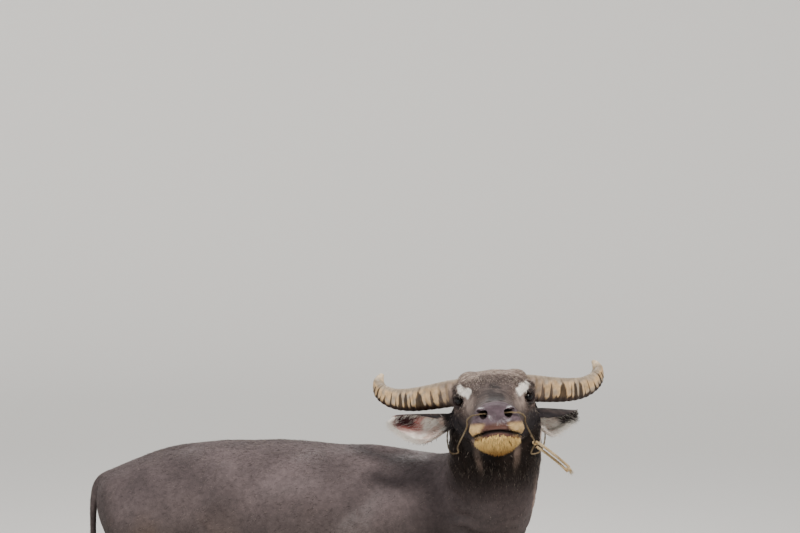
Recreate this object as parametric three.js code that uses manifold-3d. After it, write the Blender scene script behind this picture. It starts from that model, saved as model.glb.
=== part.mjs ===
// A standing swamp buffalo at life size, looking back over its right side, with a rope through its nose.
// Millimetres, +Z up. The body runs along X, chest towards +X, and the left side is +Y.
import * as THREE from "three";
import { mergeVertices } from "three/addons/utils/BufferGeometryUtils.js";
import Module from "manifold-3d";

const wasm = await Module();
wasm.setup();

// Driving sizes
const GAP = 0.3; // between pieces that touch
const WITHERS_HEIGHT = 1220;
const HIP_HEIGHT = 1262;
const HEAD_AT = new THREE.Vector3(320, -450, 1465); // the point midway between the eyes
const HEAD_TURN = -84; // degrees about Z: the muzzle points to the right side and a little forward
const HEAD_ROLL = 3.9; // degrees that the left horn is higher
const EYE_RADIUS = 23;
const EYE_APART = 110; // from the middle plane to the middle of the ball
const LID_RADIUS = 29;
const LID_OPENING = new THREE.Vector3(22, 22, 17.5); // half sizes
const HORN_ROOT = 50; // half the horn's height where it leaves the head
const HORN_RIDGES = 21;
const HORN_REACH = { left: 0.97, right: 1.036 }; // the right horn is a little longer
const EAR_LENGTH = 245;
const EAR_WALL = 6;
const NOSE_ROPE = 3.4; // radius
const END_ROPE = 5.2; // radius of the short knotted ends
const CORONET_HEIGHT = 54;
const MERGE = 1e-3; // points closer than this are one
const SLIVER = 0.01; // corners closer than this are one after a cut
const SEED = 7;

const deg = THREE.MathUtils.degToRad;
const vec = (x, y, z) => new THREE.Vector3(x, y, z);
const SIDES = { left: 1, right: -1 };

// A repeatable draw from 0 to 1
let seed = SEED;
function draw() {
  seed = (seed * 16807) % 2147483647;
  return seed / 2147483647;
}

const between = (low, high) => low + (high - low) * draw();

// A number read from a list by a smooth curve, at t from 0 to the last index
function smooth(values, t) {
  const last = values.length - 1;
  const i = Math.max(0, Math.min(Math.floor(t), last - 1));
  const f = t - i;
  const at = (k) => values[Math.max(0, Math.min(last, k))];
  const [a, b, c, d] = [at(i - 1), at(i), at(i + 1), at(i + 2)];
  return b + 0.5 * f * (c - a + f * (2 * a - 5 * b + 4 * c - d + f * (3 * (b - c) + d - a)));
}

// Rows of numbers as a list of named fields
function stations(fields, rows) {
  const names = fields.split(" ");
  return rows.map((row) => Object.fromEntries(names.map((name, i) => [name, row[i]])));
}

// A closed solid from rings of points, each ring having as many points as the next
function solidFromRings(rings) {
  const sides = rings[0].length;
  const points = rings.flat();
  const first = points.push(centreOf(rings[0])) - 1;
  const last = points.push(centreOf(rings.at(-1))) - 1;
  const triangles = [];
  for (let r = 0; r < rings.length - 1; r++)
    for (let s = 0; s < sides; s++) {
      const a = r * sides + s;
      const b = r * sides + ((s + 1) % sides);
      triangles.push(a, b, b + sides, a, b + sides, a + sides);
    }
  const top = (rings.length - 1) * sides;
  for (let s = 0; s < sides; s++) {
    const n = (s + 1) % sides;
    triangles.push(first, n, s, last, top + s, top + n);
  }
  const geometry = new THREE.BufferGeometry();
  geometry.setAttribute("position", new THREE.Float32BufferAttribute(points.flatMap((p) => p.toArray()), 3));
  geometry.setIndex(triangles);
  return solidFrom(geometry);
}

function centreOf(ring) {
  return ring.reduce((sum, p) => sum.add(p), vec(0, 0, 0)).divideScalar(ring.length);
}

// A closed geometry as a solid, turned right side out
function solidFrom(geometry) {
  const bare = geometry.clone();
  bare.deleteAttribute("normal");
  bare.deleteAttribute("uv");
  const merged = mergeVertices(bare, MERGE);
  const vertProperties = merged.attributes.position.array;
  const triVerts = new Uint32Array(merged.index.array);
  const solid = () => new wasm.Manifold(new wasm.Mesh({ numProp: 3, vertProperties, triVerts }));
  if (solid().volume() > 0) return solid();
  for (let i = 0; i < triVerts.length; i += 3)
    [triVerts[i + 1], triVerts[i + 2]] = [triVerts[i + 2], triVerts[i + 1]];
  return solid();
}

// The three.js geometry of a solid's largest closed surface, without its slivers
function geometryOf(solid) {
  const pieces = solid.decompose().sort((a, b) => b.volume() - a.volume());
  const mesh = pieces[0].getMesh();
  const geometry = new THREE.BufferGeometry();
  geometry.setAttribute("position", new THREE.BufferAttribute(mesh.vertProperties, mesh.numProp));
  geometry.setIndex(new THREE.BufferAttribute(mesh.triVerts, 1));
  const merged = mergeVertices(geometry, SLIVER);
  const corners = merged.index.array;
  const kept = [];
  for (let i = 0; i < corners.length; i += 3) {
    const [a, b, c] = corners.subarray(i, i + 3);
    if (a !== b && b !== c && c !== a) kept.push(a, b, c);
  }
  merged.setIndex(kept);
  const flat = merged.toNonIndexed();
  flat.computeVertexNormals();
  return flat;
}

const placed = (solid, matrix) => solid.transform(matrix.elements);
const joined = (solids) => solids.reduce((a, b) => a.add(b));

// A ball stretched along its axes, then turned and moved
function ball(at, half, turn = new THREE.Euler(), wide = 12, high = 8) {
  const geometry = new THREE.SphereGeometry(1, wide, high).rotateZ(-Math.PI / 2);
  geometry.scale(half.x, half.y, half.z);
  const place = new THREE.Matrix4().makeRotationFromEuler(turn).setPosition(at);
  return solidFrom(geometry.applyMatrix4(place));
}

// A body part as a chain of rings: each station has a middle, a half width, and its reach up and down.
// "Up" is the side that the hint points to, which is the front on a leg.
class Limb {
  constructor(hint, list) {
    this.hint = hint;
    this.list = list;
    this.last = list.length - 1;
  }

  read(field, t, otherwise = 0) {
    return smooth(this.list.map((s) => s[field] ?? otherwise), t);
  }

  middle(t) {
    return vec(this.read("x", t), this.read("y", t), this.read("z", t));
  }

  frame(t) {
    const step = 0.02;
    const behind = this.middle(Math.max(t - step, 0));
    const along = this.middle(Math.min(t + step, this.last)).sub(behind).normalize();
    const up = this.hint.clone().addScaledVector(along, -this.hint.dot(along)).normalize();
    const side = vec(0, 0, 0).crossVectors(up, along);
    const lean = deg(this.read("lean", t));
    up.multiplyScalar(Math.cos(lean)).addScaledVector(along, -Math.sin(lean));
    return { side, up };
  }

  // The skin's point at t along the limb and an angle round it: 0 at the side, 90 degrees on top
  point(t, angle, proud = 0) {
    const { side, up } = this.frame(t);
    const c = Math.cos(angle);
    const s = Math.sin(angle);
    const square = s > 0 ? this.read("squareUp", t, 2) : this.read("squareDown", t, 2);
    const reach = (s > 0 ? this.read("up", t) : this.read("down", t)) + proud;
    const width = (this.read("wide", t) + proud) * (1 + this.read("taper", t) * s);
    return this.middle(t)
      .addScaledVector(side, width * Math.sign(c) * Math.abs(c) ** (2 / square))
      .addScaledVector(up, reach * Math.sign(s) * Math.abs(s) ** (2 / square));
  }

  solid(sides, perSpan, proud = 0, shape = (p) => p) {
    const rings = [];
    for (let r = 0; r <= this.last * perSpan; r++) {
      const ring = [];
      for (let s = 0; s < sides; s++) {
        const angle = (2 * Math.PI * (s + 0.5)) / sides;
        ring.push(shape(this.point(r / perSpan, angle, proud), r / perSpan, angle));
      }
      rings.push(ring);
    }
    return solidFromRings(rings);
  }
}

// A soft push: points within reach of a spot move by an amount, most at the spot itself
function pushed(point, brushes) {
  const moved = point.clone();
  for (const { at, reach, by } of brushes)
    for (const side of at.y === 0 ? [1] : [1, -1]) {
      const dx = (point.x - at.x) / reach.x;
      const dy = (point.y - side * at.y) / reach.y;
      const dz = (point.z - at.z) / reach.z;
      const far = dx * dx + dy * dy + dz * dz;
      if (far < 1) moved.add(vec(by.x, side * by.y, by.z).multiplyScalar((1 - far) ** 2));
    }
  return moved;
}

// The trunk, from the buttocks to the front of the chest
const trunk = new Limb(
  vec(0, 0, 1),
  stations("x y z wide up down squareUp squareDown", [
    [-1205, 0, 1000, 70, 55, 80, 2, 2],
    [-1180, 0, 1002, 150, 106, 150, 2, 2],
    [-1110, 0, 1005, 212, HIP_HEIGHT - 1111, 230, 2.1, 2],
    [-990, 0, 995, 250, HIP_HEIGHT - 1054, 275, 2.2, 2],
    [-830, 0, 975, 274, HIP_HEIGHT - 994, 325, 2.05, 2],
    [-670, 0, 930, 304, HIP_HEIGHT - 930, 365, 1.85, 2.1],
    [-490, 0, 895, 328, HIP_HEIGHT - 903, 376, 1.8, 2.2],
    [-290, 0, 880, 320, WITHERS_HEIGHT - 868, 352, 1.75, 2.2],
    [-120, 0, 878, 278, WITHERS_HEIGHT - 876, 312, 1.7, 2.1],
    [0, 0, 872, 238, WITHERS_HEIGHT - 874, 280, 1.75, 2],
    [110, 0, 862, 212, 312, 250, 1.9, 2],
    [200, 0, 845, 178, 225, 205, 2, 2],
    [262, 0, 830, 118, 130, 130, 2, 2],
    [292, 0, 825, 50, 50, 50, 2, 2],
  ]),
);

// The neck, from inside the chest to inside the back of the head
const neck = new Limb(
  vec(0, 0, 1),
  stations("x y z wide up down squareUp squareDown", [
    [-50, 0, 900, 205, 285, 280, 1.8, 2],
    [90, 0, 945, 200, 262, 262, 1.8, 2],
    [200, -35, 1010, 184, 240, 240, 1.9, 2],
    [276, -110, 1120, 172, 180, 226, 2, 2],
    [304, -200, 1262, 166, 155, 204, 2.1, 2],
    [312, -290, 1382, 160, 130, 178, 2.2, 2],
    [316, -372, 1420, 122, 92, 126, 2.2, 2],
  ]),
);

// The legs: hoof positions differ a little, as in an easy stance
const LEGS = {
  fore_left: { step: 45, side: 1 },
  fore_right: { step: -15, side: -1 },
  hind_left: { step: -50, side: 1 },
  hind_right: { step: 35, side: -1 },
};

const FORELEG = stations("x y z wide up down free", [
  [10, 105, 1100, 46, 80, 110, 0],
  [40, 150, 965, 74, 120, 155, 0],
  [60, 175, 850, 88, 135, 170, 0],
  [22, 172, 720, 78, 108, 126, 0],
  [10, 162, 600, 56, 72, 80, 0.12],
  [12, 154, 480, 42, 49, 54, 0.3],
  [18, 150, 388, 46, 50, 48, 0.5],
  [12, 149, 310, 32, 35, 40, 0.65],
  [10, 149, 220, 28, 30, 35, 0.8],
  [14, 149, 128, 38, 37, 44, 0.93],
  [28, 149, 86, 37, 39, 40, 0.97],
  [40, 149, CORONET_HEIGHT, 45, 54, 50, 1],
]);

const HINDLEG = stations("x y z wide up down free", [
  [-870, 120, 1120, 60, 105, 120, 0],
  [-925, 165, 1000, 88, 165, 175, 0],
  [-955, 186, 880, 92, 185, 185, 0],
  [-955, 190, 770, 82, 165, 152, 0],
  [-1000, 178, 650, 58, 100, 92, 0.1],
  [-1068, 165, 550, 40, 60, 56, 0.25],
  [-1104, 160, 470, 42, 54, 58, 0.4],
  [-1096, 158, 390, 34, 40, 44, 0.55],
  [-1082, 156, 280, 29, 32, 36, 0.75],
  [-1068, 155, 148, 38, 38, 45, 0.93],
  [-1052, 155, 94, 36, 39, 40, 0.97],
  [-1040, 155, CORONET_HEIGHT, 43, 52, 48, 1],
]);

function legLimb(name) {
  const { step, side } = LEGS[name];
  const list = name.startsWith("fore") ? FORELEG : HINDLEG;
  return new Limb(
    vec(1, 0, 0),
    list.map((s) => ({ ...s, x: s.x + step * s.free, y: s.y * side })),
  );
}

// Where a leg leaves the trunk: a sloping plane, higher on the outside
const LEG_CUTS = { fore: { height: 585, slope: 27 }, hind: { height: 668, slope: 22 } };

function belowLegCut(solid, name, gap) {
  const { height, slope } = LEG_CUTS[name.slice(0, 4)];
  const side = LEGS[name].side;
  const normal = [0, Math.sin(deg(slope)) * side, -Math.cos(deg(slope))];
  return solid.trimByPlane(normal, -height * Math.cos(deg(slope)) + gap);
}

// The head in its own frame: x to the muzzle, y to the left, z to the forehead, from midway between the eyes
const HEAD = new Limb(
  vec(0, 0, 1),
  stations("x y z wide up down squareUp squareDown lean", [
    [-205, 0, -30, 100, 66, 120, 2.2, 2, 0],
    [-165, 0, -28, 118, 100, 155, 2.6, 2, 0],
    [-115, 0, -25, 128, 110, 172, 3, 2.1, 0],
    [-60, 0, -10, 136, 99, 182, 2.9, 2.1, 0],
    [-8, 0, -2, 137, 84, 178, 2.6, 2.1, 0],
    [42, 0, -18, 113, 84, 148, 2.3, 2.2, 0],
    [92, 0, -36, 92, 90, 118, 2.3, 2.2, 0],
    [145, 0, -46, 79, 90, 98, 2.4, 2.2, 0],
    [200, 0, -50, 74, 86, 84, 2.4, 2.3, 0],
    [240, 0, -52, 77, 84, 79, 2.4, 2.4, 2],
    [272, 0, -53, 84, 80, 76, 2.4, 2.4, 5],
    [298, 0, -54, 86, 75, 72, 2.4, 2.4, 8],
    [318, 0, -54, 80, 64, 62, 2.3, 2.3, 10],
    [331, 0, -53, 68, 51, 50, 2.2, 2.2, 10],
    [340, 0, -52, 50, 35, 36, 2, 2, 10],
    [345, 0, -52, 24, 16, 17, 2, 2, 10],
  ]),
);

const HEAD_BRUSHES = [
  // brow rim and the hollows before and behind it
  { at: vec(-4, 128, 32), reach: vec(46, 40, 32), by: vec(0, 8, 7) },
  { at: vec(-66, 120, 30), reach: vec(36, 40, 34), by: vec(0, -8, -3) },
  { at: vec(52, 92, 14), reach: vec(36, 40, 32), by: vec(0, -9, -2) },
  // cheek muscle, its front edge and the ridge running to the muzzle
  { at: vec(-38, 118, -92), reach: vec(76, 60, 66), by: vec(0, 18, -2) },
  { at: vec(45, 88, -110), reach: vec(42, 44, 44), by: vec(0, -8, 4) },
  { at: vec(110, 82, -30), reach: vec(70, 30, 22), by: vec(0, 6, 0) },
  { at: vec(150, 68, 18), reach: vec(80, 30, 24), by: vec(0, -5, -2) },
  // rounded forehead
  { at: vec(-70, 0, 84), reach: vec(85, 75, 50), by: vec(0, 0, 3) },
  // wings of the nostrils, the dip of the nose pad and the lip pads
  { at: vec(300, 54, 4), reach: vec(34, 30, 30), by: vec(6, 6, 7) },
  { at: vec(330, 0, 0), reach: vec(30, 20, 30), by: vec(-4, 0, 0) },
  { at: vec(300, 80, -58), reach: vec(44, 34, 26), by: vec(5, 7, -2) },
  { at: vec(336, 0, -58), reach: vec(24, 12, 20), by: vec(-4, 0, 3) },
  // narrower lower lip, corner of the mouth and chin
  { at: vec(300, 84, -104), reach: vec(56, 34, 22), by: vec(0, -9, 0) },
  { at: vec(224, 74, -84), reach: vec(26, 26, 24), by: vec(0, -7, 0) },
  { at: vec(300, 0, -124), reach: vec(52, 60, 30), by: vec(4, 0, -5) },
  { at: vec(210, 0, -132), reach: vec(40, 60, 30), by: vec(0, 0, 8) },
];

const head = new THREE.Group();
head.position.copy(HEAD_AT);
head.rotation.set(deg(HEAD_ROLL), 0, deg(HEAD_TURN), "ZYX");
head.updateMatrix();
const headPlace = head.matrix;
const headBack = headPlace.clone().invert();

// Eyes: a ball with its clear front, looking outwards and forwards
function eyeGaze(side) {
  return vec(0.7, side * 0.71, 0.08).normalize();
}

function eyeAt(side) {
  return vec(0, side * EYE_APART, 0);
}

function eyeSolid(side, proud = 0) {
  const r = EYE_RADIUS + proud;
  const cornea = eyeAt(side).addScaledVector(eyeGaze(side), 4.5);
  return ball(eyeAt(side), vec(r, r, r)).add(ball(cornea, vec(r - 3.4, r - 3.4, r - 3.4)));
}

// Turns the x axis to a direction, keeping z as upright as it can be
function facing(direction) {
  const x = direction.clone().normalize();
  const y = vec(0, 0, 1).cross(x).normalize();
  const z = x.clone().cross(y);
  return new THREE.Euler().setFromRotationMatrix(new THREE.Matrix4().makeBasis(x, y, z));
}

// The lids stand as a rim round an almond opening, lower at the inner corner
function lidsAndOpening(side) {
  const gaze = eyeGaze(side);
  const rim = ball(eyeAt(side), vec(LID_RADIUS, LID_RADIUS, LID_RADIUS), new THREE.Euler(), 14, 10);
  const opening = ball(eyeAt(side).addScaledVector(gaze, LID_RADIUS), LID_OPENING, facing(gaze), 16, 8);
  return { rim, opening };
}

// Nostrils: deep commas that open forwards and to the side
function nostril(side) {
  const bore = ball(vec(326, side * 39, -9), vec(44, 13.5, 14), facing(vec(1, side * 0.42, -0.05)), 12, 8);
  const tail = ball(vec(318, side * 57, 3), vec(26, 12, 5.5), facing(vec(0.5, side * 0.9, 0.3)), 8, 6);
  return bore.add(tail);
}

// The mouth: a thin groove round the muzzle, highest in front and drooping to its corners
const MOUTH = { front: 340, corner: 212, half: 84, height: -62, droop: 32, deep: 15, thick: 2.2 };

function mouthGroove() {
  const steps = 30;
  const rings = [];
  for (let i = 0; i <= steps; i++) {
    const angle = Math.PI * (i / steps - 0.5);
    const away = Math.sin(angle);
    const u = MOUTH.corner + (MOUTH.front - MOUTH.corner) * Math.cos(angle) ** 0.7;
    const z = MOUTH.height - MOUTH.droop * away * away;
    const middle = vec(u, MOUTH.half * Math.sign(away) * Math.abs(away) ** 0.8, z);
    const inwards = vec(-Math.cos(angle), -Math.sin(angle), 0);
    const thick = MOUTH.thick * (0.45 + 0.55 * Math.cos(angle));
    rings.push([
      middle.clone().addScaledVector(inwards, -22).add(vec(0, 0, thick * 1.6)),
      middle.clone().addScaledVector(inwards, MOUTH.deep),
      middle.clone().addScaledVector(inwards, -22).add(vec(0, 0, -thick * 1.6)),
    ]);
  }
  return solidFromRings(rings);
}

// Horns: out to the side, back and then up, three-sided, ridged across and smooth at the tip
const HORN_PATH = stations("x y z size", [
  [-104, 62, 20, 0.98],
  [-122, 128, 15, 1],
  [-148, 200, 3, 0.94],
  [-180, 268, -6, 0.87],
  [-212, 328, -4, 0.78],
  [-246, 374, 16, 0.65],
  [-275, 390, 41, 0.5],
  [-294, 384, 61, 0.33],
  [-304, 374, 76, 0.13],
]);

function hornSolid(side, proud = 0) {
  const stretch = side > 0 ? HORN_REACH.left : HORN_REACH.right;
  const size = (t) => smooth(HORN_PATH.map((s) => s.size), t);
  const middle = (t) => vec(...["x", "y", "z"].map((f) => smooth(HORN_PATH.map((s) => s[f]), t)));
  const last = HORN_PATH.length - 1;
  const ringCount = HORN_RIDGES * 2 + 8;
  const corners = 10;
  const rings = [];
  for (let r = 0; r <= ringCount; r++) {
    const t = (last * r) / ringCount;
    const along = middle(Math.min(t + 0.05, last)).sub(middle(Math.max(t - 0.05, 0))).normalize();
    const up = vec(0, 0, 1).addScaledVector(along, -along.z).normalize();
    const front = vec(0, 0, 0).crossVectors(along, up);
    const ridge = r > 4 && r < HORN_RIDGES * 2 - 2 && r % 2 ? 1 : 0;
    const ring = [];
    for (let c = 0; c < corners; c++) {
      const angle = (2 * Math.PI * c) / corners;
      const lobe = 1 + 0.13 * Math.cos(3 * (angle - deg(62)));
      const onFront = Math.max(0, Math.cos(angle + deg(25)));
      const reach = HORN_ROOT * size(t) * lobe * (1 + 0.055 * ridge * onFront) + proud;
      ring.push(
        middle(t)
          .addScaledVector(front, Math.cos(angle) * reach * 0.86)
          .addScaledVector(up, Math.sin(angle) * reach * 0.98),
      );
    }
    rings.push(ring.map((p) => vec(p.x, p.y * side * stretch, p.z)));
  }
  return solidFromRings(rings);
}

// Ears: a rolled tube at the root that opens into a leaf-shaped cup
const EARS = {
  left: { root: vec(-118, 116, -74), tip: vec(-282, 284, -92), open: vec(0.62, 0.35, -0.7), sag: -16 },
  right: { root: vec(-112, -122, -74), tip: vec(-150, -378, -66), open: vec(0.95, -0.12, -0.28), sag: 20 },
};
const EAR_SHAPE = stations("along radius arc lift", [
  [0.0, 26, 330, 0],
  [0.1, 27, 318, 0],
  [0.2, 33, 280, 1],
  [0.32, 43, 236, 4],
  [0.45, 51, 200, 9],
  [0.58, 54, 172, 15],
  [0.7, 52, 148, 21],
  [0.81, 46, 128, 26],
  [0.9, 37, 104, 29],
  [0.96, 28, 76, 31],
  [1.0, 20, 30, 32],
]);

function earFrame(name) {
  const { root, tip, open, sag } = EARS[name];
  const along = tip.clone().sub(root).normalize();
  const out = open.clone().addScaledVector(along, -open.dot(along)).normalize();
  const across = vec(0, 0, 0).crossVectors(out, along);
  return { root, along, out, across, sag };
}

function earPoint(frame, along, across, out) {
  return frame.root
    .clone()
    .addScaledVector(frame.along, along)
    .addScaledVector(frame.across, across + frame.sag * Math.sin((Math.PI * along) / EAR_LENGTH))
    .addScaledVector(frame.out, out);
}

function earSolid(name, proud = 0) {
  const frame = earFrame(name);
  const arcSteps = 8;
  const rings = EAR_SHAPE.map(({ along, radius, arc, lift }) => {
    const half = deg(arc) / 2 + proud / radius;
    const wall = EAR_WALL * (1 - 0.45 * along);
    const outer = [];
    const inner = [];
    for (let i = 0; i <= arcSteps; i++) {
      const angle = -half + (2 * half * i) / arcSteps;
      const edge = 1 - 0.55 * Math.abs((2 * i) / arcSteps - 1) ** 4;
      const at = (r) =>
        earPoint(frame, along * EAR_LENGTH, r * Math.sin(angle), radius - r * Math.cos(angle) - 22 + lift);
      outer.push(at(radius + proud));
      inner.push(at(radius - wall * edge - proud));
    }
    return [...outer, ...inner.reverse()];
  });
  const plug = ball(earPoint(frame, 6, 0, 3), vec(52 + proud, 32 + proud, 32 + proud), facing(frame.along));
  return solidFromRings(rings).add(plug);
}

// A flat tapered lock: four-cornered rings along a bending line, ending in a thin tip
function lock({ root, along, bend, flat, length, width, thick }) {
  const rings = [];
  const steps = 3;
  for (let i = 0; i <= steps; i++) {
    const t = i / steps;
    const middle = root.clone().addScaledVector(along, length * t).addScaledVector(bend, length * t * t);
    const ahead = along.clone().addScaledVector(bend, 2 * t).normalize();
    const across = vec(0, 0, 0).crossVectors(flat, ahead).normalize();
    const up = vec(0, 0, 0).crossVectors(ahead, across);
    const w = width * (i === steps ? 0.12 : Math.sin(Math.PI * (0.3 + 0.55 * t)));
    const h = thick * (i === steps ? 0.25 : 1 - 0.4 * t);
    rings.push([
      middle.clone().addScaledVector(across, w / 2),
      middle.clone().addScaledVector(up, h / 2),
      middle.clone().addScaledVector(across, -w / 2),
      middle.clone().addScaledVector(up, -h / 2),
    ]);
  }
  return solidFromRings(rings);
}

// Where a line from outside first meets a solid
function meets(solid, from, to) {
  const found = solid.rayCast(from.toArray(), to.toArray());
  const first = found.reduce((a, b) => (a.distance < b.distance ? a : b));
  return vec(...first.position);
}

// Bristles of the lower lip and chin, in rows that hang and overlap
const CHIN_MIDDLE = 262;
const CHIN_ROWS = [
  { height: -92.5, count: 6, spread: 60, length: 34 },
  { height: -106, count: 7, spread: 70, length: 34 },
  { height: -120, count: 6, spread: 68, length: 32 },
];

function chinBristles(solid) {
  return CHIN_ROWS.flatMap(({ height, count, spread, length }) =>
    Array.from({ length: count }, (_, i) => {
      const angle = deg(spread * ((2 * (i + 0.5)) / count - 1) + between(-2, 2));
      const outwards = vec(Math.cos(angle), Math.sin(angle), 0);
      const inside = vec(CHIN_MIDDLE, 0, height);
      const skin = meets(solid, inside.clone().addScaledVector(outwards, 160), inside);
      return lock({
        root: skin.addScaledVector(outwards, -5).add(vec(0, 0, 5)),
        along: outwards.clone().multiplyScalar(0.42).add(vec(0, 0, -0.9)).normalize(),
        bend: outwards.clone().multiplyScalar(-0.12).add(vec(0, 0, -0.1)),
        flat: outwards,
        length: length * between(0.88, 1.12),
        width: 15,
        thick: 4.5,
      });
    }),
  );
}

// Pale fringe along the lower edge of an ear, and a few locks on the upper edge near the tip
const FRINGE_LOW = 7;
const FRINGE_HIGH = 2;

function earFringe(name) {
  const frame = earFrame(name);
  const low = frame.across.z < 0 ? 1 : -1;
  return Array.from({ length: FRINGE_LOW + FRINGE_HIGH }, (_, i) => {
    const edge = i < FRINGE_LOW ? low : -low;
    const share = i < FRINGE_LOW ? 0.38 + (0.56 * i) / FRINGE_LOW : 0.76 + 0.12 * (i - FRINGE_LOW);
    const t = share * (EAR_SHAPE.length - 1);
    const [along, radius, arc, lift] = ["along", "radius", "arc", "lift"].map((field) =>
      smooth(EAR_SHAPE.map((s) => s[field]), t),
    );
    const angle = edge * (deg(arc) / 2 - 0.1);
    const r = radius - 2;
    const out = radius - r * Math.cos(angle) - 23 + lift;
    return lock({
      root: earPoint(frame, along * EAR_LENGTH, r * Math.sin(angle), out),
      along: frame.along
        .clone()
        .multiplyScalar(0.8)
        .addScaledVector(frame.across, edge * 0.35)
        .addScaledVector(frame.out, 0.5)
        .normalize(),
      bend: frame.across.clone().multiplyScalar(edge * -0.1),
      flat: frame.out,
      length: between(28, 40),
      width: 12,
      thick: 3,
    });
  });
}

// Hooves: two claws joined at the heel, with the flat sole on the ground
const CLAW = stations("z mid front back half", [
  [CORONET_HEIGHT - 6, 38, 50, 42, 20],
  [34, 42, 56, 44, 23],
  [14, 46, 63, 45, 24.5],
  [0, 48, 66, 44, 24.5],
]);

function hoofSolid(name) {
  const { step, side } = LEGS[name];
  const fore = name.startsWith("fore");
  const x = (fore ? 2 : -1078) + step;
  const y = side * (fore ? 149 : 155);
  const corners = 10;
  const top = CORONET_HEIGHT - GAP;
  const claws = [-1, 1].map((way) =>
    solidFromRings(
      [{ ...CLAW[0], z: top }, ...CLAW.slice(1)].map((s) =>
        Array.from({ length: corners }, (_, c) => {
          const angle = (2 * Math.PI * c) / corners;
          const reach = Math.cos(angle) > 0 ? s.front : s.back;
          const inner = way * Math.sin(angle) < 0 ? 0.88 : 1;
          return vec(
            x + s.mid + reach * Math.cos(angle),
            y + way * 23.5 + s.half * inner * Math.sign(Math.sin(angle)) * Math.abs(Math.sin(angle)) ** 0.8,
            s.z,
          );
        }),
      ),
    ),
  );
  const web = ball(vec(x + 12, y, 28), vec(26, 20, 16), new THREE.Euler(), 8, 6);
  return joined([...claws, web]);
}

// Dew claws: two blunt cones behind each fetlock, pointing down
function dewClaw(name, way, proud = 0) {
  const { step, side } = LEGS[name];
  const fore = name.startsWith("fore");
  const at = vec((fore ? -22 : -1102) + step * 0.95, side * (fore ? 149 : 155) + way * 20, fore ? 108 : 118);
  const r = 13 + proud;
  return ball(at, vec(24 + proud, r, r), facing(vec(-0.42, way * 0.12, -0.9)), 7, 5);
}

// The tail hangs from the rump, with its switch of long locks at the end
const tail = new Limb(
  vec(-1, 0, 0),
  stations("x y z wide up down", [
    [-1115, 0, 1108, 34, 34, 34],
    [-1176, 0, 1092, 31, 30, 30],
    [-1222, 0, 1056, 27, 25, 25],
    [-1238, 0, 985, 23, 20, 20],
    [-1243, 0, 890, 19, 17, 17],
    [-1238, 0, 770, 16, 15, 15],
    [-1232, 0, 660, 13, 13, 13],
  ]),
);
const SWITCH_TOP = 662;
const TAIL_ROOT = 1115; // how far behind the withers the tail leaves the rump's inside

const SWITCH_LOCKS = 13;

function tailSwitch() {
  const core = new Limb(
    vec(-1, 0, 0),
    stations("x y z wide up down", [
      [-1232, 0, SWITCH_TOP + 8, 13, 13, 13],
      [-1230, 0, 610, 25, 25, 25],
      [-1228, 0, 540, 27, 27, 27],
      [-1226, 0, 470, 6, 6, 6],
    ]),
  ).solid(10, 2);
  const locks = Array.from({ length: SWITCH_LOCKS }, (_, i) => {
    const angle = i * 2.4;
    const outwards = vec(Math.cos(angle), Math.sin(angle), 0);
    return lock({
      root: vec(-1231, 0, SWITCH_TOP - 12 - (62 * i) / SWITCH_LOCKS).addScaledVector(outwards, 7),
      along: outwards.clone().multiplyScalar(0.2).add(vec(0, 0, -1)).normalize(),
      bend: outwards.clone().multiplyScalar(-0.12),
      flat: outwards,
      length: between(130, 175),
      width: 24,
      thick: 9,
    });
  });
  return joined([core, ...locks]).trimByPlane([0, 0, -1], GAP - SWITCH_TOP);
}

// The rope: through the nose, back along both cheeks and round the neck behind the ears
const KNOT_AT = vec(26, 131, -156); // in the head's frame
const ROPE_SIDES = 6;
const ROPE_STEPS = 50;
const ROPE_ROUTE = [
  // from the knot along the left cheek, through the nose and back along the right cheek
  [26, 131, -156],
  [235, 97, -60],
  [285, 94, -30],
  [316, 78, -12],
  [330, 60, -8],
  [334, 43, -9],
  [318, 24, -12],
  [308, 0, -13],
  [318, -24, -12],
  [334, -43, -9],
  [330, -60, -8],
  [316, -78, -12],
  [285, -94, -30],
  [235, -97, -60],
  [26, -132, -150],
  // round the neck behind the ears and back to the knot
  [-96, -134, -191],
  [-135, -157, -162],
  [-178, -167, -129],
  [-220, -163, -97],
  [-252, -148, -74],
  [-278, -121, -55],
  [-297, -84, -42],
  [-307, -39, -35],
  [-309, 14, -35],
  [-302, 66, -42],
  [-287, 108, -55],
  [-265, 141, -73],
  [-236, 162, -95],
  [-203, 171, -120],
  [-161, 166, -152],
  [-119, 147, -182],
  [-84, 117, -208],
  [18, 131, -158],
].map((at) => vec(...at));

function rope(points, radius, sides, steps) {
  const outline = new THREE.Shape();
  outline.absarc(0, 0, radius, 0, 2 * Math.PI, false);
  const path = new THREE.CatmullRomCurve3(points, false, "centripetal");
  const geometry = new THREE.ExtrudeGeometry(outline, {
    extrudePath: path,
    steps,
    curveSegments: sides / 2,
    bevelEnabled: false,
  });
  return solidFrom(geometry);
}

// Two short knotted ends hang from the knot side by side and meet in a second knot
const END_KNOT_AT = vec(22, 237, -254);
const END_STEPS = 8;

function ropeEnd(way) {
  const start = KNOT_AT.clone().add(vec(0, 5 + way * 3, -6 + way * 7));
  return Array.from({ length: END_STEPS + 1 }, (_, i) => {
    const t = i / END_STEPS;
    const swing = way * 9 * Math.sin(Math.PI * t);
    return start.clone().add(vec(swing - 4 * t, 101 * t, -76 * t - 16 * t * t));
  });
}

function knotSolid(proud = 0) {
  return ball(KNOT_AT, vec(11 + proud, 13 + proud, 11 + proud), facing(vec(0.4, 0.6, -0.6)));
}

function endKnotSolid(proud = 0) {
  return ball(END_KNOT_AT, vec(10 + proud, 13 + proud, 12 + proud), facing(vec(0, 0.6, -0.7)));
}

// Materials
function finish(color, roughness) {
  return new THREE.MeshStandardMaterial({ color, roughness, metalness: 0 });
}

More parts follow.
